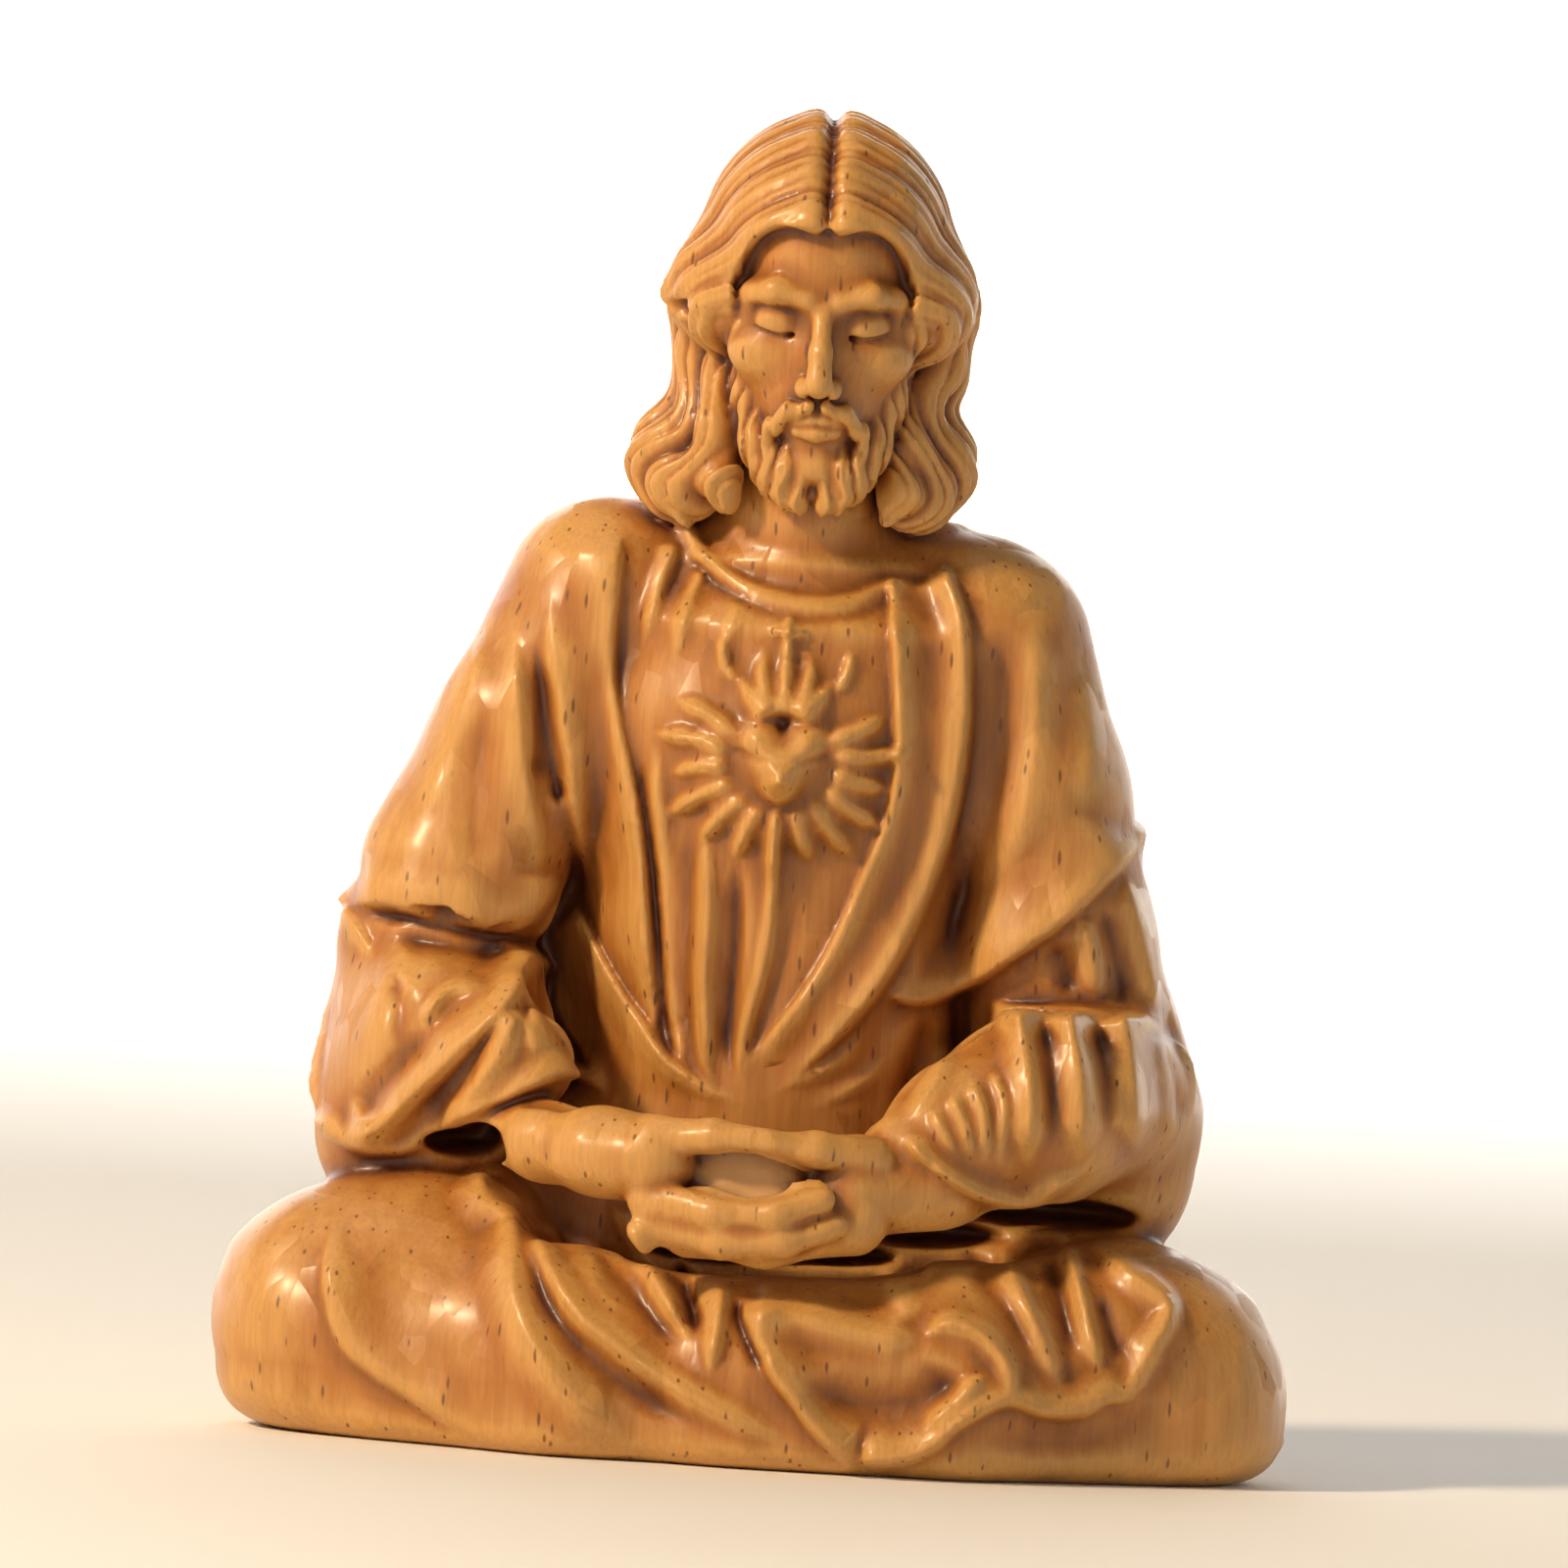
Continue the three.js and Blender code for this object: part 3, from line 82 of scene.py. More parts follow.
def soft_min(a: Array, b: Array, k: float) -> Array:
    """Joins two distances with a fillet about k wide.

    Args:
        a: One distance.
        b: The other distance.
        k: Width of the fillet in millimetres.

    Returns:
        The distance to the joined form.
    """
    h = np.maximum(k - np.abs(a - b), 0.0) / k
    return np.minimum(a, b) - h * h * (k / 4)


def soft_cut(a: Array, b: Array, k: float) -> Array:
    """Cuts distance b out of distance a, with a fillet about k wide."""
    return -soft_min(-a, b, k)


def ramp(x: Array, low: float, high: float) -> Array:
    """A smooth step from 0 at low to 1 at high."""
    t = np.clip((x - low) / (high - low), 0.0, 1.0)
    return t * t * (3 - 2 * t)


def cone(a: Point, ra: float, b: Point, rb: float) -> Form:
    """A limb: a rounded cone from one ball to another.

    Args:
        a: Centre of the first ball.
        ra: Its radius.
        b: Centre of the second ball.
        rb: Its radius.

    Returns:
        The form.
    """
    dx, dy, dz = (q - p for p, q in zip(a, b))
    length2 = dx * dx + dy * dy + dz * dz

    def distance(x: Array, y: Array, z: Array) -> Array:
        """The distance at many points."""
        px, py, pz = x - a[0], y - a[1], z - a[2]
        t = np.clip((px * dx + py * dy + pz * dz) / length2, 0.0, 1.0)
        return np.sqrt((px - t * dx) ** 2 + (py - t * dy) ** 2 + (pz - t * dz) ** 2) - (ra + (rb - ra) * t)

    return distance


def egg(c: Point, r: Point) -> Form:
    """An egg with its own radius along each axis.

    Args:
        c: Its centre.
        r: Its three radii.

    Returns:
        The form.
    """

    def distance(x: Array, y: Array, z: Array) -> Array:
        """The distance at many points."""
        px, py, pz = (x - c[0]) / r[0], (y - c[1]) / r[1], (z - c[2]) / r[2]
        k = np.sqrt(px * px + py * py + pz * pz)
        slope = np.sqrt((px / r[0]) ** 2 + (py / r[1]) ** 2 + (pz / r[2]) ** 2) + 1e-6
        return k * (k - 1) / slope

    return distance


def soft_forms(*parts: tuple[float, Form]) -> Form:
    """Joins forms one after another, each with its own softness.

    Args:
        *parts: The fillet and the form of each. The first one's fillet isn't used.

    Returns:
        The joined form.
    """

    def distance(x: Array, y: Array, z: Array) -> Array:
        """The distance at many points."""
        d = parts[0][1](x, y, z)
        for k, form in parts[1:]:
            d = soft_min(d, form(x, y, z), k)
        return d

    return distance


def blend(k: float, *forms: Form) -> Form:
    """Several forms joined with one fillet."""
    return soft_forms(*((k, form) for form in forms))


def furrows(phase: Array) -> Array:
    """Round ridges from 0 to 1 with sharp furrows between them, one for each turn of the phase."""
    return np.abs(np.sin(phase / 2))


def chain(k: float, *balls: Point) -> Form:
    """A run of cones through balls given as (x, y, z, radius)."""
    return blend(k, *(cone(p[:3], p[3], q[:3], q[3]) for p, q in zip(balls, balls[1:])))


def column(sections: Sequence[Point]) -> Form:
    """An upright column of oval sections.

    Args:
        sections: (height, half width, front, back) of each section, from the bottom up.

    Returns:
        The form.
    """
    table = np.array(sections)

    def distance(x: Array, y: Array, z: Array) -> Array:
        """The distance at many points."""
        half, front, back = (smooth_table(z, table[:, 0], table[:, j]) for j in (1, 2, 3))
        deep = (back - front) / 2
        px, py = x / half, (y - (back + front) / 2) / deep
        k = np.sqrt(px * px + py * py)
        side = k * (k - 1) / (np.sqrt((px / half) ** 2 + (py / deep) ** 2) + 1e-6)
        return np.maximum(side, np.maximum(table[0, 0] - z, z - table[-1, 0]))

    return distance


def smooth_table(z: Array, heights: Array, values: Array) -> Array:
    """Reads a table of values against heights, easing from each row to the next.

    Args:
        z: The heights to read it at.
        heights: The rows' heights, from the bottom up.
        values: The rows' values.

    Returns:
        The value at each height.
    """
    i = np.clip(np.searchsorted(heights, z) - 1, 0, len(heights) - 2)
    t = ramp(z, heights[i], heights[i + 1])
    return (values[i] + (values[i + 1] - values[i]) * t).astype(np.float32)


def mirrored(form: Form) -> Form:
    """The same form on both sides of the plane x = 0."""
    return lambda x, y, z: form(np.abs(x), y, z)


def head_frame(x: Array, y: Array, z: Array) -> tuple[Array, Array, Array]:
    """Turns a point of the figure into the bowed head's own upright frame.

    Args:
        x: Places to the right.
        y: Places to the back.
        z: Heights.

    Returns:
        The same places in the head's frame.
    """
    c, s = math.cos(HEAD_BOW), math.sin(HEAD_BOW)
    px, py, pz = x - HEAD_CENTRE[0], y - HEAD_CENTRE[1], z - HEAD_CENTRE[2]
    return px, py * c + pz * s, pz * c - py * s


# Strokes of carving


@dataclass(frozen=True)
class Stroke:
    """One stroke of the gouge along a smooth curve.

    Attributes:
        rise: Height of the ridge that it leaves, or depth of the groove where negative.
        widths: How far the relief runs out to the left and to the right of the curve.
        points: The curve's points on one side of the figure, as (right, up).
        ends: Share of the length over which each end dies away.
    """

    rise: float
    widths: tuple[float, float]
    points: Sequence[tuple[float, float]]
    ends: tuple[float, float]


def stroke(rise: float, widths: float | Sequence[float], points: Sequence[Sequence[float]],
           ends: Sequence[float] = (0.25, 0.25)) -> Stroke:
    """Makes a stroke; one width stands for both sides."""
    pair = tuple(widths) if isinstance(widths, (list, tuple)) else (widths, widths)
    return Stroke(rise, pair, [tuple(p) for p in points], tuple(ends))


def smooth_curve(points: Sequence[Sequence[float]], step: float = 0.6) -> Array:
    """Points along a Catmull-Rom curve, about one step apart.

    Args:
        points: The points that it passes through.
        step: Spacing of the returned points.

    Returns:
        An array of points, one a row.
    """
    p = np.array(points, dtype=float)
    ends = np.vstack([p[0], p, p[-1]])
    rows = []
    for i in range(1, len(ends) - 2):
        a, b, c, d = ends[i - 1:i + 3]
        count = max(2, int(np.linalg.norm(c - b) / step) + 1)
        t = np.linspace(0, 1, count, endpoint=False)[:, None]
        v0, v1 = (c - a) / 2, (d - b) / 2
        rows.append((2 * b - 2 * c + v0 + v1) * t**3 + (-3 * b + 3 * c - 2 * v0 - v1) * t**2 + v0 * t + b)
    rows.append(p[-1:])
    return np.vstack(rows)


class ReliefMap:
    """Heights of one side's carving on a flat grid, from under the sole to above the shoulders."""

    FOOT, TOP = -4, 112
    CELL = 0.3  # spacing of the heights in millimetres
    TIP = 0.35  # share of its width that a stroke keeps where it dies away
    CROWN = 0.12  # how much of the crest is rounded, as a share of the width
    HOLLOW = 1.4  # over 1, the slopes beside a crest are hollow

    def __init__(self, strokes: Iterable[Stroke], half: float) -> None:
        """Draws every stroke.

        Args:
            strokes: The strokes to sum.
            half: How far the map reaches to either side of the figure's middle.
        """
        self.u = np.arange(-half, half + self.CELL, self.CELL)
        self.v = np.arange(self.FOOT, self.TOP + self.CELL, self.CELL)
        self.heights = np.zeros((len(self.v), len(self.u)), dtype=np.float32)
        for one in strokes:
            self.add(one)

    def add(self, one: Stroke) -> None:
        """Adds one stroke's ridge or groove to the map.

        Args:
            one: The stroke.
        """
        line = smooth_curve(one.points)
        reach = max(one.widths)
        lo, hi = line.min(0) - reach, line.max(0) + reach
        i = slice(*np.searchsorted(self.u, (lo[0], hi[0])))
        j = slice(*np.searchsorted(self.v, (lo[1], hi[1])))
        u, v = np.meshgrid(self.u[i], self.v[j])
        best = np.full(u.shape, np.inf)
        side, along = np.zeros(u.shape), np.zeros(u.shape)
        lengths = np.r_[0, np.cumsum(np.linalg.norm(np.diff(line, axis=0), axis=1))]
        for k, (a, b) in enumerate(zip(line, line[1:])):
            du, dv = b - a
            pu, pv = u - a[0], v - a[1]
            t = np.clip((pu * du + pv * dv) / (du * du + dv * dv), 0, 1)
            d = np.hypot(pu - t * du, pv - t * dv)
            near = d < best
            best = np.where(near, d, best)
            side = np.where(near, du * pv - dv * pu, side)
            along = np.where(near, (lengths[k] + t * (lengths[k + 1] - lengths[k])) / lengths[-1], along)
        fade = np.ones(u.shape)
        for share, way in zip(one.ends, (along, 1 - along)):
            if share:
                fade = fade * ramp(way, 0, share)
        width = np.where(side > 0, *one.widths) * (self.TIP + (1 - self.TIP) * fade)
        t = np.clip(best / width, 0, 1)
        crest = np.clip((1 - np.hypot(t, self.CROWN)) / (1 - self.CROWN), 0, 1) ** self.HOLLOW
        self.heights[j, i] += (one.rise * fade * crest).astype(np.float32)

    def at(self, u: Array, v: Array) -> Array:
        """Heights at points of the map, bilinear between its samples.

        Args:
            u: Places across the map.
            v: Places up it.

        Returns:
            The heights there.
        """
        fu = np.clip((u - self.u[0]) / self.CELL, 0, len(self.u) - 1.001)
        fv = np.clip((v - self.v[0]) / self.CELL, 0, len(self.v) - 1.001)
        i, j = fu.astype(np.int32), fv.astype(np.int32)
        a, b, h = fu - i, fv - j, self.heights
        lower = h[j, i] * (1 - a) + h[j, i + 1] * a
        upper = h[j + 1, i] * (1 - a) + h[j + 1, i + 1] * a
        return lower * (1 - b) + upper * b


# The masses of the figure


@dataclass
class Legs:
    """The crossed legs under the skirt, with the seat behind them.

    Attributes:
        knee: Below this height the sides drop almost plumb.
        plumb: How fast the form still narrows below it.
    """

    knee: float = 9.0
    plumb: float = 0.3

    def form(self) -> Form:
        """The form of both legs."""
        legs = blend(
            5,
            chain(4, [-18, 14, 16, 15], [-45.4, -8, 15, 12.4]),
            chain(4, [18, 14, 15, 14.5], [43.8, -7, 11.6, 12]),
            egg([-36, -6, 18.8], [13.4, 14, 11]),
            egg([39.4, -6, 16.2], [11.6, 14, 9.6]),
            chain(4, [-45.4, -10, 11.6, 12.2], [-20, -19, 10, 12.5], [8, -22, 8, 10]),
            chain(4, [44.4, -9, 8.6, 12], [20, -20, 9, 11.5], [-1, -23, 9, 9.5]),
            chain(4, [38, -9, 14.5, 10.5], [20, -18, 13, 10], [4, -21.5, 11.4, 8.4]),
            egg([0, -20, 13.6], [15, 9.5, 6.8]),
            egg([0, 15, 16], [38, 20, 19]),
            egg([0, 10, 26], [40, 15, 14]),
        )

        def distance(x: Array, y: Array, z: Array) -> Array:
            """The distance at many points."""
            return legs(x, y, np.where(z < self.knee, self.knee - (self.knee - z) * self.plumb, z))

        return distance


@dataclass
class Trunk:
    """The trunk in its tunic, the neck, and the mantle that spans the back from arm to arm.

    Attributes:
        tunic: Oval sections as (height, half width, front, back).
        mantle: The same for the mantle behind.
    """

    tunic: Sequence[Point] = (
        (12, 30, -8, 32),
        (30, 24, -12, 29),
        (45, 20, -12, 25),
        (60, 21, -13, 22),
        (80, 24, -14.5, 20),
        (90, 22, -13, 19),
        (97, 14, -8, 15),
        (101, 8, -2, 12),
    )
    mantle: Sequence[Point] = (
        (10, 42, 6, 32),
        (40, 38, 3, 27),
        (60, 34, 2, 24),
        (80, 30, 1, 21),
        (92, 26, 0, 19),
        (101, 16, 0, 15),
    )

    def form(self) -> Form:
        """The form of the trunk."""
        return blend(
            4,
            column(self.tunic),
            column(self.mantle),
            chain(4, [-19, 4, 92.5, 9.2], [0, 5, 95, 9.5], [17.4, 4, 91.2, 9.8]),
            cone([0, 1.5, 94], 8, [0, -3, 110], 7),
        )


@dataclass
class Arms:
    """Both arms in their sleeves."""

    def right(self) -> Form:
        """The right arm, at -X: upper sleeve, wide lower sleeve and forearm."""
        return blend(
            1.6,
            chain(3, [-21.2, 4, 91.8, 11], [-28.4, 3, 76, 10.3], [-35, 2, 62, 10.9]),
            blend(
                5,
                chain(4, [-37.2, 5, 53, 10.8], [-36.4, 2, 43, 10.8], [-38, 0, 37, 9.6],
                      [-40.2, 0, 32.6, 8.6]),
                chain(3, [-35, -6, 44, 9.5], [-27, -14.6, 42.4, 5.6]),
            ),
        )

    def left(self) -> Form:
        """The left arm, at +X: the mantle over the upper arm, the elbow and the gathered forearm sleeve."""
        return blend(
            2.5,
            chain(3, [19.4, 4, 88.6, 12.2], [25, 3, 73, 11.2], [28.8, 4, 58, 11], [32.4, 4, 46, 11],
                  [34.6, 4, 38.6, 11.4], [35.6, 4, 32.6, 10]),
            chain(3, [35, -4, 42, 9.5], [27.5, -13, 40, 10], [20, -19, 38, 7], [14.5, -23, 35.5, 4.5]),
        )


@dataclass
class Hands:
    """Both hands, laid in each other below the tips of the thumbs."""

    def form(self) -> Form:
        """The form of the hands and wrists."""
        finger = 1.2
        return blend(
            0.8,
            chain(2, [-30, -12, 35.8, 4.2], [-24, -20, 34.4, 4], [-18, -24.6, 34, 4.5],
                  [-12.5, -27, 33.6, 4.9]),
            chain(finger, [-12, -28.5, 36, 2.4], [-6, -30.4, 36.8, 1.7], [-0.5, -31.2, 36.6, 1.4]),
            chain(finger, [-12.4, -29, 29.4, 2.4], [-5.5, -32.6, 28.6, 1.8], [1, -33.4, 29, 1.7],
                  [6, -32.2, 30.8, 1.4]),
            chain(finger, [-11.5, -29.2, 26.9, 2.2], [-4.5, -32.2, 25.7, 1.8], [2, -32.8, 26.2, 1.7],
                  [7.4, -31.4, 28, 1.4]),
            chain(2, [26, -14, 35, 5], [17, -22, 32.2, 5], [9, -26.5, 31.2, 4.6]),
            chain(finger, [11, -27.5, 35, 2.4], [5, -30.3, 36, 1.8], [0.6, -31.2, 36.4, 1.4]),
            chain(2, [9, -27, 28.6, 4.2], [0, -29.5, 26.6, 3.4], [-8, -29, 26, 2.6]),
            egg([-2, -24, 31], [9, 5, 5]),
        )


@dataclass
class Head:
    """The bare head with its beard, in its own frame: the eyes half way up and the face in even thirds.

    Attributes:
        eye: Centre of the left eyeball.
        eye_radius: Its radius; the lids stand up to half a millimetre out of it.
        lash: Height of the lowered lid's edge at the middle of the eye.
        beard_locks: How closely the beard's locks and strands lie, as phase for each radian round the chin.
    """

    eye: Point = (4.4, -9.2, 0.2)
    eye_radius: float = 2.4
    lash: float = -0.7
    beard_locks: tuple[float, float] = (34, 83)

    def skull(self) -> Form:
        """The forehead, cheeks, mouth and chin as plain masses."""
        return soft_forms(
            (3, egg([0, 1.8, 5.8], [11, 14.2, 13])),
            (3, egg([0, -2.5, -4.5], [8.9, 10.8, 13])),
            (2, egg([0, -8.6, -9.6], [4.8, 5.2, 4.6])),
            (2, egg([0, -9.4, -15], [3.4, 4.2, 3])),
            (2.5, mirrored(egg([6.6, -7.6, -3.4], [3.4, 3.9, 2.8]))),
            (1.5, mirrored(chain(1.5, [1.9, -12.4, 3.1, 1], [5, -11.7, 3.8, 1.2], [7.8, -9.2, 3, 1.2]))),
            (1.5, mirrored(egg([8, -5.2, 0.6], [1.9, 4.2, 3.6]))),
        )

    def eyes(self) -> Form:
        """The eyeballs under lowered lids."""
        ball = mirrored(egg(self.eye, [self.eye_radius] * 3))
        lid = mirrored(egg(self.eye, [self.eye_radius + 0.5, self.eye_radius + 0.4, self.eye_radius + 0.2]))

        def distance(x: Array, y: Array, z: Array) -> Array:
            """The distance at many points."""
            side = np.abs(x) - self.eye[0]
            edge = self.lash + 0.075 * side * side
            lids = lid(x, y, z)
            upper, lower = np.maximum(lids - 0.15, edge - z), np.maximum(lids, z - edge + 0.7)
            return np.minimum(soft_min(ball(x, y, z), upper, 0.2), lower)

        return distance

    def nose(self) -> Form:
        """The nose with its wings."""
        return blend(
            0.7,
            chain(1, [0, -12.4, 2.2, 0.9], [0, -14.7, -2, 1.1], [0, -16.1, -5.2, 1.5]),
            mirrored(egg([1.6, -14.3, -6], [0.95, 1.5, 1.1])),
        )

    def lips(self) -> Form:
        """The closed lips."""
        return mirrored(blend(
            0.3,
            chain(0.4, [0.5, -13.7, -9.5, 0.7], [2, -13.2, -9.8, 0.6], [3.5, -12.2, -10.3, 0.35]),
            chain(0.4, [0, -13.4, -11.2, 0.85], [2, -12.9, -11, 0.6]),
        ))

    def moustache(self) -> Form:
        """The moustache, parted below the nose and running into the beard."""
        return mirrored(chain(0.8, [0.9, -14.3, -8, 0.7], [3, -13.3, -8.9, 0.85], [4.6, -11.8, -10.8, 0.85],
                              [5.2, -10.6, -13.2, 0.9]))

    def beard(self) -> Form:
        """The short full beard along the jaw, lightly forked at the chin."""
        return mirrored(chain(2, [8.6, -2.5, -4, 1.2], [7, -5.4, -9, 2], [5, -8, -13.6, 2.7],
                              [2.9, -9.8, -16.4, 3], [1.6, -10.8, -18.6, 2]))

    def form(self) -> Form:
        """The whole head with the beard's locks cut in."""
        skull, eyes, nose, lips = self.skull(), self.eyes(), self.nose(), self.lips()
        socket = mirrored(egg([4.4, -14.7, 0.4], [3, 3.2, 2.3]))
        nostril = mirrored(egg([0.85, -15.1, -6.9], [0.45, 0.8, 0.4]))
        lashes = mirrored(chain(0.2, [2.2, -11.1, -0.6, 0.25], [4.4, -12.1, -1.1, 0.4],
                                [6.8, -10.9, -0.6, 0.25]))
        moustache, beard = self.moustache(), self.beard()

        def distance(x: Array, y: Array, z: Array) -> Array:
            """The distance at many points."""
            d = soft_cut(skull(x, y, z), socket(x, y, z), 1.4)
            d = soft_min(d, eyes(x, y, z), 0.35)
            d = soft_cut(d, lashes(x, y, z), 0.25)
            d = soft_min(d, nose(x, y, z), 1)
            d = soft_cut(soft_min(d, lips(x, y, z), 0.5), nostril(x, y, z), 0.3)
            locks = self.locks(x, y, z)
            d = soft_min(d, beard(x, y, z) - locks, 0.8)
            return soft_min(d, moustache(x, y, z) - 0.6 * locks, 0.3)

        return distance

    def locks(self, x: Array, y: Array, z: Array) -> Array:
        """How far the beard's wavy locks stand out.

        Args:
            x: Places to the right in the head's frame.
            y: Places to its back.
            z: Heights in it.

        Returns:
            The relief in millimetres.
        """
        turn = np.arctan2(np.abs(x), -y - 1)
        wave = 0.9 * np.sin(z * 0.75) + 0.35 * np.sin(z * 1.9 + 2 * np.abs(x))
        lock, strand = self.beard_locks
        return 0.55 * furrows(turn * lock + 1.4 * wave) + 0.25 * furrows(turn * strand + 3 * wave) - 0.5


@dataclass
class Hair:
    """The hair: a parted cap that is full at the temples, and long locks to the shoulders.

    Attributes:
        crown: How closely locks and strands lie on the crown, as phase for each radian over the head.
        fall: The same for the hair below the ears, round the head.
    """

    crown: tuple[float, float] = (30, 112)
    fall: tuple[float, float] = (19, 61)

    def cap(self) -> Form:
        """The cap in the head's frame, cut open over the face and parted along its middle."""
        cap = blend(
            2.5,
            egg([0, 2.2, 7], [13.3, 16.8, 13.4]),
            egg([0, 7, -4], [13, 12, 15]),
            mirrored(egg([9.6, -1, 2], [6.8, 8.4, 7.2])),
        )
        face = mirrored(blend(2, egg([3.8, -18, 3], [7.6, 14.4, 9.2]), egg([2.4, -16, -8], [7.6, 12.6, 15])))
        return lambda x, y, z: soft_cut(cap(x, y, z), face(x, y, z), 0.5)

    def falls(self) -> Form:
        """The hair over the ears, to the shoulders and down the nape."""
        return blend(
            2,
            chain(2, [-12.8, -1, 126, 3.6], [-11, 0, 119, 4], [-11.2, -0.5, 113.5, 3.7],
                  [-14.5, -1, 107.8, 4.7], [-13.8, -3, 105.4, 4.4]),
            chain(1.5, [-10.6, -4, 118, 2.2], [-10, -6, 111.5, 2.9], [-10.2, -7.2, 106.4, 2.4],
                  [-8.8, -7.6, 103.6, 1]),
            chain(2, [13.2, -1, 126, 3.8], [12, 0, 119, 3.8], [10.4, 0, 113.5, 3.6], [12.6, -1, 108.6, 4.7],
                  [11.7, -3, 105.4, 4.1]),
            chain(1.5, [10.8, -3.4, 117, 2.2], [10.2, -5.4, 110, 2.7], [10.2, -7, 105.4, 2.2],
                  [9, -7.4, 102.8, 0.9]),
            chain(1.5, [-9.6, -8.4, 131, 2], [-13, -7.8, 128, 2.2], [-15.6, -5.4, 125.8, 1.7]),
            chain(3, [0, 5, 124, 12], [0, 7, 113, 11.5], [0, 9, 104, 10]),
        )

    def relief(self, x: Array, y: Array, z: Array) -> Array:
        """How far the locks and strands stand out of the hair.

        Across the crown they run from the parting to the ears, and below these they fall in waves.

        Args:
            x: Places to the right.
            y: Places to the back.
            z: Heights.

        Returns:
            The relief in millimetres.
        """
        px, py, pz = head_frame(x, y, z)
        side = np.abs(px)
        over = np.arctan2(pz + 8, 2 - py)
        lock, strand = self.crown
        crown = furrows(lock * over) + 0.45 * furrows(strand * over + 0.3 * side + np.sin(lock * over))
        around = np.arctan2(px, py - 2)
        bend = 1.9 * np.sin(z * 0.42 + 0.09 * px)
        lock, strand = self.fall
        fall = furrows(lock * around + bend) + 0.5 * furrows(strand * around + 3.1 * bend)
        low = ramp(-pz, -4, 3)
        parting = 1.1 * np.exp(-(side / 0.8) ** 2) - 0.3 * np.exp(-((side - 2.4) / 1.6) ** 2)
        return (0.55 * crown - 0.5 - parting) * (1 - low) + (0.95 * fall - 0.8) * low


@dataclass
class DeepCuts:
    """Gaps that no stroke reaches: between arm and trunk, under the sleeves and under the hands.

    Attributes:
        palm: Centre of the hollow between the hands.
        hollow: Its half sizes.
    """

    palm: Point = (-2.3, -34.6, 32.8)
    hollow: Point = (5.8, 6, 2.6)

    def form(self) -> Form:
        """The form that is cut away."""
        return blend(
            1,
            # between the right arm and the trunk, at the hem of the upper sleeve and in the sleeve's mouth
            chain(1, [-27.8, -7, 83, 0.6], [-26.2, -8, 74, 1.5], [-23.6, -10.5, 65, 2.2],
                  [-22.6, -12.5, 58, 2.4], [-24, -14, 53.5, 1.6]),
            chain(1, [-39, -8, 57.6, 0.8], [-36.5, -7.8, 57.1, 1.5], [-34.4, -7.6, 56.8, 1]),
            chain(1, [-30.5, -7, 55.8, 1], [-26, -7, 55.4, 1.9]),
            blend(1, egg([-31.8, -11, 33], [5.4, 13, 1.8]), egg([-30.6, -11, 34.2], [2.8, 13, 1.8])),
            chain(1, [-26, -21, 38.8, 0.8], [-22, -22.6, 39.4, 1.5], [-19, -23, 39, 0.9]),
            # at the mantle's hem
            chain(1, [21, -13, 52.8, 1.6], [25.4, -13, 53.6, 1.4]),
            chain(1, [19, -16, 47.8, 0.9], [23, -14, 49, 1]),
            # under the hands and the left sleeve
            egg([-4, -17, 22.8], [11, 13, 1.5]),
            egg([8, -17, 23.4], [10, 13, 1.7]),
            egg([20, -14, 26], [10, 15, 2.1]),
            egg([30, -9, 28.8], [11, 14, 2.2]),
            # between the folds of the skirt
            chain(1, [-6.8, -33, 18, 1.2], [-6.2, -34, 14.6, 0.5]),
            # under the wave of hair at the right temple
            chain(0.6, [-16.8, -7, 123.8, 0.7], [-13.8, -8.6, 124.2, 1.2], [-11.8, -9.6, 125.4, 0.8]),
            egg(self.palm, self.hollow),
        )


# The strokes. Down a stroke on the front, its left is the figure's left, at +X.


